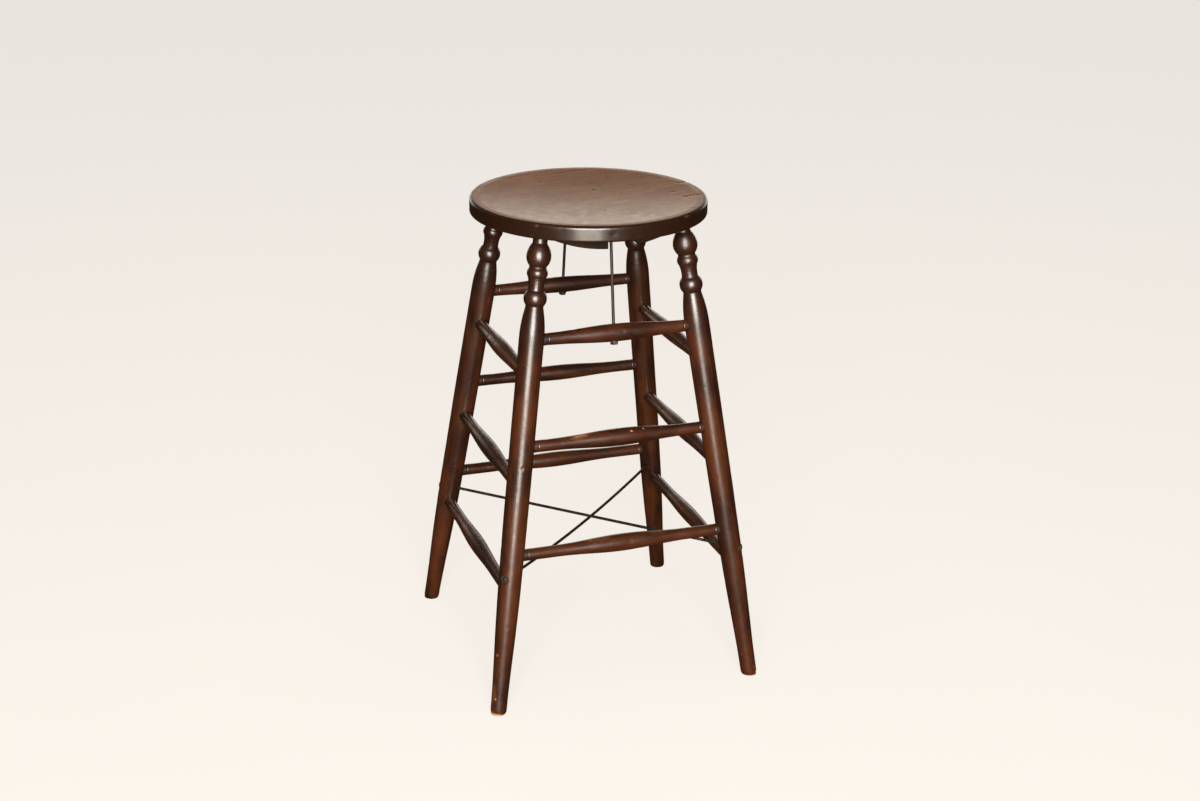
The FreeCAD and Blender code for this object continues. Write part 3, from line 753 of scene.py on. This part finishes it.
def make_leg(side, seed, material):
    """One leg: turned, uneven and knocked, cut flat at the floor and bored for its joints."""
    picker = random.Random(seed)
    place = leg_place(side)
    to_leg = place.inverted()
    knocks = random_knocks(picker, LEG_KNOCKS, *LEG_KNOCK_ZONE, leg_radius)
    dings = leg_dings(side)
    phase = picker.uniform(0, 6)

    def offset(flat, angles):
        heights = flat[:, 2]
        free = np.clip((LEG_LENGTH - LEG_TRUE_TOP - heights) / (20 * MM), 0, 1)
        unround = LEG_UNROUND * np.sin(2 * angles + phase + heights * 7)
        wander = LEG_WANDER * smooth_noise(flat * [1, 1, 0.35], 30, seed)
        foot = np.clip(1 - heights / FOOT_ROUND_HEIGHT, 0, 1)
        rub = FOOT_RUB * foot * (1 + smooth_noise(flat, 90, seed + 9))
        return (unround + wander - knock_depth(flat, knocks + dings)) * free - rub * foot

    mesh = closed_lathe("leg", leg_stations, leg_radii, LEG_SEGMENTS, offset)
    mesh.transform(place)
    below_floor = block_mesh(Vector((-1, -1, -1)), Vector((1, 1, 0)))
    mesh = cut(mesh, [below_floor] + leg_cutters(side))
    mesh.transform(to_leg)

    points = mesh_points(mesh)
    shift = np.array([picker.uniform(12, 30) * MM, picker.uniform(-20, 20) * MM, seed * 1.3])
    store(mesh, "grain", points + shift)
    store(mesh, "wear", leg_wear(points, knocks, dings, seed))
    store(mesh, "grime", leg_grime(points, side, to_leg))
    # Darker towards the seat: a darker stain on the turnings, and painted shade that the seat casts
    # on the legs' tops.
    turning_stain_and_shade_share = np.clip((points[:, 2] - (TURNINGS_START - 60 * MM)) / (70 * MM), 0, 1)
    store(mesh, "stain_and_shade", TURNING_STAIN_AND_SHADE * turning_stain_and_shade_share)
    node = "leg_" + side
    finish_piece("turned_" + node, mesh, place, material, node)


# ---- rungs ----

RUNG_SEGMENTS = 48
RUNG_END_STEP = 2.0 * MM
SCRIBE_STEP = 0.45 * MM
BELLY_STEP = 2.1 * MM
SCRIBE_REACH = 9 * MM       # from a leg's face, past a rung's scribed ring
RUNG_KNOCKS = 9
RUNG_UNROUND = 0.14 * MM
RUNG_WANDER = 0.16 * MM
TREAD_DEPTH = 0.9 * MM
RUNG_BRUISE_WEAR = 0.30
RUNG_RUB_WEAR = 0.16
# How much feet have worn the top of a rung, from 0 to 1. On the side rungs the values are raised so
# that the paler worn colour also paints their top sheen.
RUNG_TREAD_AND_SHEEN = {
    ("front", "middle"): 0.50, ("front", "bottom"): 0.45, ("right", "middle"): 0.38,
    ("left", "middle"): 0.42, ("right", "bottom"): 0.34, ("left", "bottom"): 0.34,
    ("back", "middle"): 0.24, ("back", "bottom"): 0.24,
}
LIGHT_TREAD = 0.15
# Chips in a rung's polish, as (place along it, rise above its axis, radius, bareness), in
# millimetres.
RUNG_CHIPS = {
    ("front", "middle"): [
        (-3, 9.0, 1.1, 0.45), (18, 10.5, 1.5, 1.0), (27, 6.0, 1.0, 0.30),
        (38, 11.2, 1.2, 0.70), (67, 9.5, 1.0, 0.45), (-95, 3.0, 0.9, 0.50)],
    ("front", "bottom"): [(-46, 8.0, 1.0, 0.4)],
    ("front", "top"): [(-54, 5.0, 1.0, 0.4)],
}
CHIP_DEPTH = 0.45 * MM
TIE_HOLE_RADIUS = 2.7 * MM
TIE_SPOT_RADIUS = 7.4 * MM
HALF_WASHER = 0.6 * MM


def tie_rod_axis(side):
    """A tie rod's lower and upper axis points, and the direction up along it."""
    low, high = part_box("tie_rod_" + side)
    rod_radius = (high.x - low.x) / 2
    facing = -1 if side == "front" else 1
    outer = max(abs(low.y), abs(high.y)) - rod_radius
    inner = min(abs(low.y), abs(high.y)) + rod_radius
    across = (low.x + high.x) / 2
    bottom = Vector((across, facing * outer, low.z))
    top = Vector((across, facing * inner, high.z))
    return bottom, top, (top - bottom).normalized()


def tie_rod_cutters(side):
    """The rod's hole through a top rung and the flat for its washer underneath."""
    bottom, top, direction = tie_rod_axis(side)
    washer_along = (middle("tie_rod_washer_" + side) - bottom).dot(direction)
    flat = bottom + direction * (washer_along + HALF_WASHER + SOCKET_GAP)
    return [cylinder_mesh(bottom - direction * 10 * MM, top, TIE_HOLE_RADIUS, 24),
            cylinder_mesh(flat - direction * 20 * MM, flat, TIE_SPOT_RADIUS, 32)]


def rung_stations(reach, face):
    """Places along a rung, closer together at the scribed rings beside the legs."""
    ring_end = face - SCRIBE_REACH
    return (evenly(-reach, -face, RUNG_END_STEP) + evenly(-face, -ring_end, SCRIBE_STEP)[1:]
            + evenly(-ring_end, ring_end, BELLY_STEP)[1:]
            + evenly(ring_end, face, SCRIBE_STEP)[1:] + evenly(face, reach, RUNG_END_STEP)[1:])


def rung_wear(points, knocks, chips, tread_and_sheen, face, seed):
    """Where a rung's polish is worn: trodden along its top, bruised, rubbed and chipped. The
    trodden share also paints the side rungs' top sheen as paler colour.
    """
    up = np.clip(np.sin(np.arctan2(points[:, 1], points[:, 0])), 0, 1)
    patchy = smooth_noise(points * [1, 1, 0.45], 55, seed + 2)
    belly = np.clip(1 - (np.abs(points[:, 2]) / face) ** 4, 0, 1)
    # Paler along the top: real wear from feet, and on the side rungs also painted sheen.
    trodden_and_sheen = tread_and_sheen * up ** 2 * belly * (0.35 + 0.9 * np.clip(patchy + 0.25, 0, 1))
    bruises = chipped(points, knocks, 0.42 * MM) * RUNG_BRUISE_WEAR
    rubbed = RUNG_RUB_WEAR * np.clip(patchy - 0.1, 0, 1)
    return trodden_and_sheen + bruises + rubbed + chipped(points, chips, CHIP_DEPTH / 1.6)


def make_rung(side, tier, seed, material):
    """One rung: a turned bar with a belly, plain ends and a scribed ring by each leg."""
    node = rung_name(side, tier)
    picker = random.Random(seed)
    place = rung_place(node)
    low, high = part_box(node)
    reach = max(high.x - low.x, high.y - low.y) / 2
    axis_height = middle(node).z
    face = leg_reach(axis_height) - leg_radius(axis_height * LEG_STRETCH)
    stations = rung_stations(reach, face)
    radii = read_outline(node, place, stations)

    def rung_radius(station):
        return float(np.interp(station, stations, radii))

    knocks = random_knocks(picker, RUNG_KNOCKS, -face, face, rung_radius)
    phase = picker.uniform(0, 6)
    chips = []
    for along, rise, width, bareness in RUNG_CHIPS.get((side, tier), []):
        station = along * MM
        outward = -sqrt(rung_radius(station) ** 2 - (rise * MM) ** 2)
        place_on_rung = (outward, rise * MM, station)
        chips.append((place_on_rung, width * MM, CHIP_DEPTH * bareness))
    # On the side rungs this share also paints the top sheen.
    tread_and_sheen = RUNG_TREAD_AND_SHEEN.get((side, tier), LIGHT_TREAD)

    def offset(flat, angles):
        free = np.clip((face - 6 * MM - np.abs(flat[:, 2])) / (14 * MM), 0, 1)
        unround = RUNG_UNROUND * np.sin(2 * angles + phase)
        wander = RUNG_WANDER * smooth_noise(flat * [1, 1, 0.4], 34, seed)
        up = np.clip(np.sin(angles), 0, 1) ** 3
        hollow = TREAD_DEPTH * tread_and_sheen * up * (0.6 + 0.4 * smooth_noise(flat, 24, seed + 5))
        return (unround + wander - hollow - knock_depth(flat, knocks + chips)) * free

    mesh = closed_lathe("rung", stations, radii, RUNG_SEGMENTS, offset)
    if tier == "top" and side in TIE_SIDES:
        mesh.transform(place)
        mesh = cut(mesh, tie_rod_cutters(side))
        mesh.transform(place.inverted())
    points = mesh_points(mesh)
    shift = np.array([picker.uniform(8, 20) * MM, picker.uniform(-14, 14) * MM, seed * 0.9])
    store(mesh, "grain", points + shift)
    store(mesh, "wear", rung_wear(points, knocks, chips, tread_and_sheen, face, seed))
    ends = fade(face - np.abs(points[:, 2]), 2.0 * MM)
    sunk = hollow_share(points[:, 2], stations, radii, 1.2 * MM, 0.5 * MM)
    store(mesh, "grime", np.clip(ends * 0.9 + sunk * 0.8, 0, 1))
    finish_piece("turned_" + node, mesh, place, material, node)


# ---- seat ----

SEAT_SEGMENTS = 384
SEAT_TOP_STEP = 1.6 * MM
SEAT_SIDE_STEP = 1.5 * MM
SEAT_UNDERSIDE_STEP = 6 * MM
SEAT_INNER_RADIUS = 4 * MM      # the flat middle that closes the top and the underside
SEAT_DISH_RADIUS = SEAT_RADIUS - 14 * MM
TOP_ROUND = 5 * MM
BOTTOM_ROUND = 3 * MM
GRAIN_TURN = radians(17)
GRAIN_BOW = 0.9                 # how strongly the grain lines curve, per metre
PITH = np.array([-0.30, SEAT_TOP - 0.17, 0.0])
NECK_RADIUS = leg_radius(LEG_LENGTH - 20 * MM)
SCREW_HEAD_RADIUS = 4.4 * MM
SCREW_HOLE_RADIUS = 2.3 * MM
# Shallow dents in the top and knocks round the rim, in millimetres.
DENTS = 26
DENT_ZONE = (-0.15, 0.15)
DENT_RADII = (7, 15)
DENT_DEPTHS = (0.04, 0.11)
RIM_KNOCKS = 46
RIM_KNOCK_DROPS = (2, 5, 12, 18)
RIM_KNOCK_RADII = (2.5, 5)
RIM_KNOCK_DEPTHS = (0.15, 0.5)
CRACK_DEPTH = 1.1 * MM
SEAT_WAVE = 0.35 * MM
RIM_WAVE = 0.18 * MM
# How much the top, its front, the rim's corner and the rim's chips are worn, from 0 to 1. The
# front's extra wear also paints the front's brighter sheen as paler colour.
TOP_WEAR = 0.34
TOP_PATCHY_WEAR = 0.06
FRONT_WEAR_AND_SHEEN = 0.05
CORNER_WEAR = 0.30
RIM_CHIP_WEAR = 0.22
RIM_STAIN = 0.98
# Dark sunk marks on the top of the seat, as (X, Y, radius, depth) in millimetres.
MARK_HEIGHT = SEAT_TOP - 4 * MM
SEAT_MARKS = [((x * MM, y * MM, MARK_HEIGHT), radius * MM, depth * MM)
              for x, y, radius, depth in [(25, 50, 2.4, 0.9), (-43, 111, 2.6, 0.6),
                                          (136, -7, 2.2, 0.8), (2, -72, 1.8, 0.5),
                                          (-86, -31, 1.8, 0.4)]]
# Drying cracks near the rim, as (start, end, width), with places as (X, Y).
SEAT_CRACKS = [
    ((0.138, -0.045), (0.170, -0.041), 1.6 * MM),
    ((0.158, 0.032), (0.178, 0.037), 1.4 * MM),
]
# Lighter rubbed lines that follow the grain, as (start, end, width, strength).
SEAT_STREAKS = [
    ((0.025, -0.010), (0.172, 0.036), 1.3 * MM, 0.22),
    ((-0.114, 0.082), (0.011, 0.055), 1.2 * MM, 0.12),
    ((-0.120, -0.060), (0.060, -0.020), 1.0 * MM, 0.10),
]


def line_share(points, start, end, width):
    """How near points are to a line seen from above, from 0 to 1, fading at its ends."""
    start = np.array(start)
    span = np.array(end) - start
    share = ((points[:, :2] - start) @ span) / (span @ span)
    nearest = start + np.outer(np.clip(share, 0, 1), span)
    aside = np.linalg.norm(points[:, :2] - nearest, axis=1) / width
    ends = np.clip(np.minimum(share, 1 - share) * 6 + 0.3, 0, 1)
    return np.exp(-aside ** 2) * ends


def corner_points(centre, radius, start, end, step):
    """Points on a rounded corner of a half section, without its first point."""
    return [(centre[0] + radius * cos(turn), centre[1] + radius * sin(turn))
            for turn in evenly(start, end, step)[1:]]


def seat_outline():
    """The seat's half section, from the middle of its underside round to the top's middle."""
    dish_hit = cad_tree("seat").ray_cast(Vector((0.002, 0.001, 1)), Vector((0, 0, -1)))[0]
    dish_depth = SEAT_TOP - dish_hit.z
    sphere = (SEAT_DISH_RADIUS ** 2 + dish_depth ** 2) / (2 * dish_depth)
    low_middle = (SEAT_RADIUS - BOTTOM_ROUND, SEAT_UNDERSIDE + BOTTOM_ROUND)
    high_middle = (SEAT_RADIUS - TOP_ROUND, SEAT_TOP - TOP_ROUND)
    section = [(radius, SEAT_UNDERSIDE)
               for radius in evenly(SEAT_INNER_RADIUS, low_middle[0], SEAT_UNDERSIDE_STEP)]
    section += corner_points(low_middle, BOTTOM_ROUND, -pi / 2, 0, pi / 12)
    for height in evenly(low_middle[1], high_middle[1], SEAT_SIDE_STEP)[1:]:
        section.append((SEAT_RADIUS, height))
    section += corner_points(high_middle, TOP_ROUND, 0, pi / 2, pi / 18)
    for radius in evenly(high_middle[0], SEAT_INNER_RADIUS, SEAT_TOP_STEP)[1:]:
        inside = min(radius, SEAT_DISH_RADIUS)
        drop = sqrt(sphere ** 2 - inside ** 2) - (sphere - dish_depth)
        section.append((radius, SEAT_TOP - drop))
    return section


def seat_dents(picker):
    """Shallow random dents in the top of the seat."""
    dents = []
    for _ in range(DENTS):
        place = (picker.uniform(*DENT_ZONE), picker.uniform(*DENT_ZONE), MARK_HEIGHT)
        width = picker.uniform(*DENT_RADII) * MM
        dents.append((place, width, picker.uniform(*DENT_DEPTHS) * MM))
    return dents


def seat_rim_knocks(picker):
    """Random knocks round the rim, some at its corners and some on its side."""
    knocks = []
    for turn in [picker.uniform(0, 2 * pi) for _ in range(RIM_KNOCKS)]:
        place = (SEAT_RADIUS * cos(turn), SEAT_RADIUS * sin(turn),
                 SEAT_TOP - picker.choice(RIM_KNOCK_DROPS) * MM)
        width = picker.uniform(*RIM_KNOCK_RADII) * MM
        knocks.append((place, width, picker.uniform(*RIM_KNOCK_DEPTHS) * MM))
    return knocks


def at_mark_height(points):
    """Points moved straight up or down to the height at which marks and dents are placed."""
    return points * [1, 1, 0] + [0, 0, MARK_HEIGHT]


def press_top(points, dents, top_share, rim_share):
    """Press dents, cracks and a slow wave into the top of the seat."""
    press = knock_depth(at_mark_height(points), dents)
    for start, end, width in SEAT_CRACKS:
        press += CRACK_DEPTH * line_share(points, start, end, width)
    wave = SEAT_WAVE * (1 + smooth_noise(points, 9, 2)) / 2
    points[:, 2] -= (press + wave * (1 - rim_share)) * top_share


def pull_rim(points, turn, rim_knocks, rim_share):
    """Pull the rim inwards at its knocks and in a slow wave."""
    pull = knock_depth(points, rim_knocks) * rim_share
    pull += RIM_WAVE * (1 + smooth_noise(points, 14, 4)) * rim_share
    points[:, 0] -= pull * np.cos(turn)
    points[:, 1] -= pull * np.sin(turn)


def seat_grain(points):
    """Grain coordinates of a board cut beside the pith, with its lines turned and bowed."""
    along = points[:, 0] * cos(GRAIN_TURN) + points[:, 1] * sin(GRAIN_TURN)
    across = -points[:, 0] * sin(GRAIN_TURN) + points[:, 1] * cos(GRAIN_TURN)
    bow = GRAIN_BOW * (along + 0.02) ** 2
    return np.stack([across + bow, points[:, 2], along], 1) - PITH


def seat_wear(points, reach, rubbed_top, rim_knocks):
    """Where the seat's polish is worn: over its top, along the corner and at the rim's chips. The
    front is also made paler as painted sheen.
    """
    patchy = smooth_noise(points, 16, 7)
    # Paler towards the front: a little real wear, and painted sheen that stands in for the brighter
    # reflection there.
    front_sheen_share = np.clip(-points[:, 1] / SEAT_RADIUS, -1, 1)
    wear = rubbed_top * (TOP_WEAR + TOP_PATCHY_WEAR * patchy + FRONT_WEAR_AND_SHEEN * front_sheen_share)
    for start, end, width, strength in SEAT_STREAKS:
        wear += strength * line_share(points, start, end, width) * rubbed_top
    corner = np.exp(-((reach - (SEAT_RADIUS - 1.2 * MM)) / (1.6 * MM)) ** 2)
    corner *= np.abs(points[:, 2] - (SEAT_TOP - 3 * MM)) < 3 * MM
    wear += corner * CORNER_WEAR * np.clip(patchy + 0.3, 0, 1)
    return wear + chipped(points, rim_knocks, 0.5 * MM) * RIM_CHIP_WEAR * (1 - rubbed_top)


def seat_grime(points, is_top):
    """Dirt in the marks and cracks of the top."""
    marks = chipped(at_mark_height(points), SEAT_MARKS, 0.45 * MM)
    for start, end, width in SEAT_CRACKS:
        marks = np.maximum(marks, line_share(points, start, end, width))
    return np.clip(marks * is_top, 0, 1)


def seat_cutters():
    """Solids for the leg sockets and for the screw and rod holes in the seat's underside."""
    cutters = []
    for side in SIDES:
        place = leg_place(side)
        start = place @ Vector((0, 0, LEG_LENGTH - 40 * MM))
        end = place @ Vector((0, 0, LEG_LENGTH + SOCKET_END_GAP))
        cutters.append(cylinder_mesh(start, end, NECK_RADIUS + SOCKET_GAP))
    screw_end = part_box("bearer_screws")[1]
    screw_reach = screw_end.x - SCREW_HEAD_RADIUS
    bearer_middle = middle("seat_bearer_front").y
    for across, back in ((-1, -1), (-1, 1), (1, -1), (1, 1)):
        start = Vector((across * screw_reach, back * bearer_middle, SEAT_UNDERSIDE - 5 * MM))
        end = Vector((start.x, start.y, screw_end.z + SOCKET_END_GAP))
        cutters.append(cylinder_mesh(start, end, SCREW_HOLE_RADIUS, 24))
    for side in TIE_SIDES:
        _, top, direction = tie_rod_axis(side)
        cutters.append(cylinder_mesh(top - direction * 30 * MM, top + direction * SOCKET_END_GAP,
                                     TIE_HOLE_RADIUS, 24))
    return cutters


def make_seat(material):
    """The seat: a dished round board with a rounded rim, small dents and drying cracks."""
    radii, heights = zip(*seat_outline())
    points, radius, turn = turned_points(heights, radii, SEAT_SEGMENTS)
    picker = random.Random(5)
    top_share = np.clip((points[:, 2] - (SEAT_TOP - 12 * MM)) / (8 * MM), 0, 1)
    rim_share = np.clip((radius - (SEAT_RADIUS - 4 * MM)) / (4 * MM), 0, 1)
    press_top(points, seat_dents(picker) + SEAT_MARKS, top_share, rim_share)
    rim_knocks = seat_rim_knocks(picker)
    pull_rim(points, turn, rim_knocks, rim_share)
    mesh = cut(ring_mesh("seat", points, len(radii), SEAT_SEGMENTS), seat_cutters())

    points = mesh_points(mesh)
    reach = np.linalg.norm(points[:, :2], axis=1)
    is_top = points[:, 2] > SEAT_TOP - 14 * MM
    rubbed_top = np.clip((SEAT_RADIUS - 3 * MM - reach) / (5 * MM), 0, 1) * is_top
    store(mesh, "grain", seat_grain(points))
    store(mesh, "wear", seat_wear(points, reach, rubbed_top, rim_knocks))
    store(mesh, "stain_and_shade", RIM_STAIN * (1 - rubbed_top))
    store(mesh, "grime", seat_grime(points, is_top))
    finish_piece("dished_seat", mesh, Matrix.Identity(4), material, "seat")


# ---- CAD pieces that keep their own shape ----

def dress(node, material):
    """Give a CAD node its material. Its shape and place stay as they are."""
    piece = frame["nodes"][node]
    piece.data.materials.clear()
    piece.data.materials.append(material)


# ---- floor, light and camera ----

FLOOR_SIZE = 40.0
FLOOR_LIFT = 0.80       # light that the floor gives to the camera only, so that it looks pale
FLOOR_LIFT_TINT = colour(1.0, 0.955, 0.90)
FLOOR_PALE = (colour(0.105, 0.094, 0.083), colour(0.120, 0.108, 0.096))
FLOOR_BOUNCE = colour(0.24, 0.14, 0.07)
FLOOR_IN_POLISH = colour(0.050, 0.030, 0.018)
SURROUND = 0.035
SURROUND_TINT = colour(1.0, 0.93, 0.85)
BACKDROP = colour(0.90, 0.87, 0.83)


def make_floor():
    """A plain pale floor. It throws a warm light on the stool and hardly shows in its polish."""
    floor_material, tree, surface = new_material("pale_floor")
    place = add_node(tree, "TexCoord").outputs["Object"]
    cloud = noise_value(tree, place, 2.0, 3.0)
    path = add_node(tree, "LightPath")
    seen = path.outputs["Is Camera Ray"]
    hidden = mixed(tree, path.outputs["Is Glossy Ray"], FLOOR_BOUNCE, FLOOR_IN_POLISH)
    connect(tree, surface, Base_Color=mixed(tree, seen, hidden, mixed(tree, cloud, *FLOOR_PALE)),
            Roughness=0.8, Specular_IOR_Level=0.0, Emission_Color=FLOOR_LIFT_TINT,
            Emission_Strength=product(tree, seen, FLOOR_LIFT))
    size = FLOOR_SIZE
    mesh = bpy.data.meshes.new("floor")
    mesh.from_pydata([(-size, -size, 0), (size, -size, 0), (size, size, 0), (-size, size, 0)],
                     [], [(0, 1, 2, 3)])
    mesh.materials.append(floor_material)
    add_object("floor", mesh)


def make_world():
    """A pale surround to the camera, and a faint warm one to everything else."""
    world = bpy.data.worlds.new("studio")
    bpy.context.scene.world = world
    world.use_nodes = True
    tree = world.node_tree
    tree.nodes.clear()
    faint = add_node(tree, "Background", {"Color": SURROUND_TINT, "Strength": SURROUND})
    seen = add_node(tree, "Background", {"Color": BACKDROP, "Strength": 1.0})
    path = add_node(tree, "LightPath")
    shown = add_node(tree, "MixShader", {0: path.outputs["Is Camera Ray"], 1: faint.outputs[0],
                                         2: seen.outputs[0]})
    add_node(tree, "OutputWorld", {"Surface": shown.outputs[0]})


CAMERA_AT = Vector((-0.9112, -2.6785, 1.4831))
CAMERA_YAW = radians(19.226)
CAMERA_PITCH = radians(20.695)
CAMERA_ROLL = radians(0.733)
CAMERA_LENS_MM = 57.01
CAMERA_SENSOR_MM = 36.0
CAMERA_FORWARD = Vector((sin(CAMERA_YAW) * cos(CAMERA_PITCH),
                         cos(CAMERA_YAW) * cos(CAMERA_PITCH), -sin(CAMERA_PITCH)))


def make_camera():
    """A camera that looks down at the stool from its front left, a little rolled."""
    lens = bpy.data.cameras.new("camera")
    lens.sensor_width = CAMERA_SENSOR_MM
    lens.lens = CAMERA_LENS_MM
    camera = add_object("camera", lens)
    right = CAMERA_FORWARD.cross(Vector((0, 0, 1))).normalized()
    up = right.cross(CAMERA_FORWARD)
    rolled_right = right * cos(CAMERA_ROLL) + up * sin(CAMERA_ROLL)
    rolled_up = up * cos(CAMERA_ROLL) - right * sin(CAMERA_ROLL)
    turn = Matrix((rolled_right, rolled_up, -CAMERA_FORWARD)).transposed().to_4x4()
    camera.matrix_world = Matrix.Translation(CAMERA_AT) @ turn
    bpy.context.scene.camera = camera


# Lamps round the stool. Each one's turn is from the camera's side, and it aims at a height on
# the stool's middle line.
LAMPS = {
    "window": dict(
        distance=4.2, turn=radians(1), height=1.75, aim=0.45, size=(2.5, 2.6),
        power=520.0, tint=(1.0, 0.96, 0.90), reflected=True, on_floor=True),
    "floor_glow": dict(
        distance=2.3, turn=radians(1), height=0.16, aim=0.6, size=(0.9, 0.45),
        power=18.0, tint=(1.0, 0.88, 0.74), reflected=True, on_floor=False),
    "pale_wall": dict(
        distance=3.6, turn=radians(180), height=0.85, aim=0.75, size=(6.0, 1.5),
        power=38.0, tint=(1.0, 0.92, 0.82), reflected=True, on_floor=False),
    "ceiling": dict(
        distance=0.4, turn=0.0, height=3.6, aim=0.0, size=(3.6, 3.6),
        power=84.0, tint=(1.0, 0.93, 0.84), reflected=False, on_floor=True),
}


def add_lamp(name, values, turntable, stool):
    """A soft rectangular lamp that stands on the turntable and faces the stool."""
    data = bpy.data.lights.new(name, "AREA")
    data.shape = "RECTANGLE"
    data.size, data.size_y = values["size"]
    data.energy = values["power"]
    data.color = values["tint"]
    lamp = add_object(name, data)
    lamp.location = (sin(values["turn"]) * values["distance"],
                     -cos(values["turn"]) * values["distance"], values["height"])
    facing = Vector((0, 0, values["aim"])) - lamp.location
    lamp.rotation_euler = facing.to_track_quat("-Z", "Y").to_euler()
    lamp.parent = turntable
    lamp.visible_camera = False
    lamp.visible_glossy = values["reflected"]
    if not values["on_floor"]:
        lamp.light_linking.receiver_collection = stool


def make_lights():
    """A soft window by the camera, the lit floor below it, a pale wall opposite, a ceiling."""
    stool = bpy.data.collections.new("stool_pieces")
    for piece in bpy.context.scene.objects:
        if piece.type == "MESH" and piece.name != "floor":
            stool.objects.link(piece)
    turntable = add_object("lamp_turntable", None)
    facing = turntable.constraints.new("LOCKED_TRACK")
    facing.target = bpy.context.scene.camera
    facing.track_axis = "TRACK_NEGATIVE_Y"
    facing.lock_axis = "LOCK_Z"
    for name, values in LAMPS.items():
        add_lamp(name, values, turntable, stool)


# ---- the whole scene ----

turned_wood = wood_material("turned_wood", TURNED_LOOK)
seat_wood = wood_material("seat_wood_worn", SEAT_LOOK)
dull_and_shaded_bearer_wood = wood_material("bearer_wood_dull_and_shaded", BEARER_DULL_AND_SHADED_LOOK, board_grain)
rod_iron = iron_material("rod_iron_dark", colour(0.022, 0.0165, 0.0125), 0.42, 0.65, 0.34)
fixing_iron = iron_material("fixing_iron_worn", colour(0.048, 0.038, 0.031), 0.38, 0.6, 0.5)

LEG_SEED = 11
RUNG_SEED = 31

make_seat(seat_wood)
for number, leg_side in enumerate(SIDES):
    make_leg(leg_side, LEG_SEED + number, turned_wood)
for number, rung_side in enumerate(RUNG_SIDES):
    for step, rung_tier in enumerate(TIERS):
        make_rung(rung_side, rung_tier, RUNG_SEED + len(TIERS) * number + step, turned_wood)
for tie_side in TIE_SIDES:
    dress("seat_bearer_" + tie_side, dull_and_shaded_bearer_wood)
    dress("tie_rod_" + tie_side, rod_iron)
    dress("tie_rod_washer_" + tie_side, fixing_iron)
    dress("tie_rod_nut_" + tie_side, fixing_iron)
dress("bearer_screws", fixing_iron)
dress("cross_rod_straight", rod_iron)
dress("cross_rod_bowed", rod_iron)
dress("cross_rod_washers", fixing_iron)

make_floor()
make_world()
make_camera()
make_lights()
bpy.context.scene.view_settings.view_transform = "Standard"
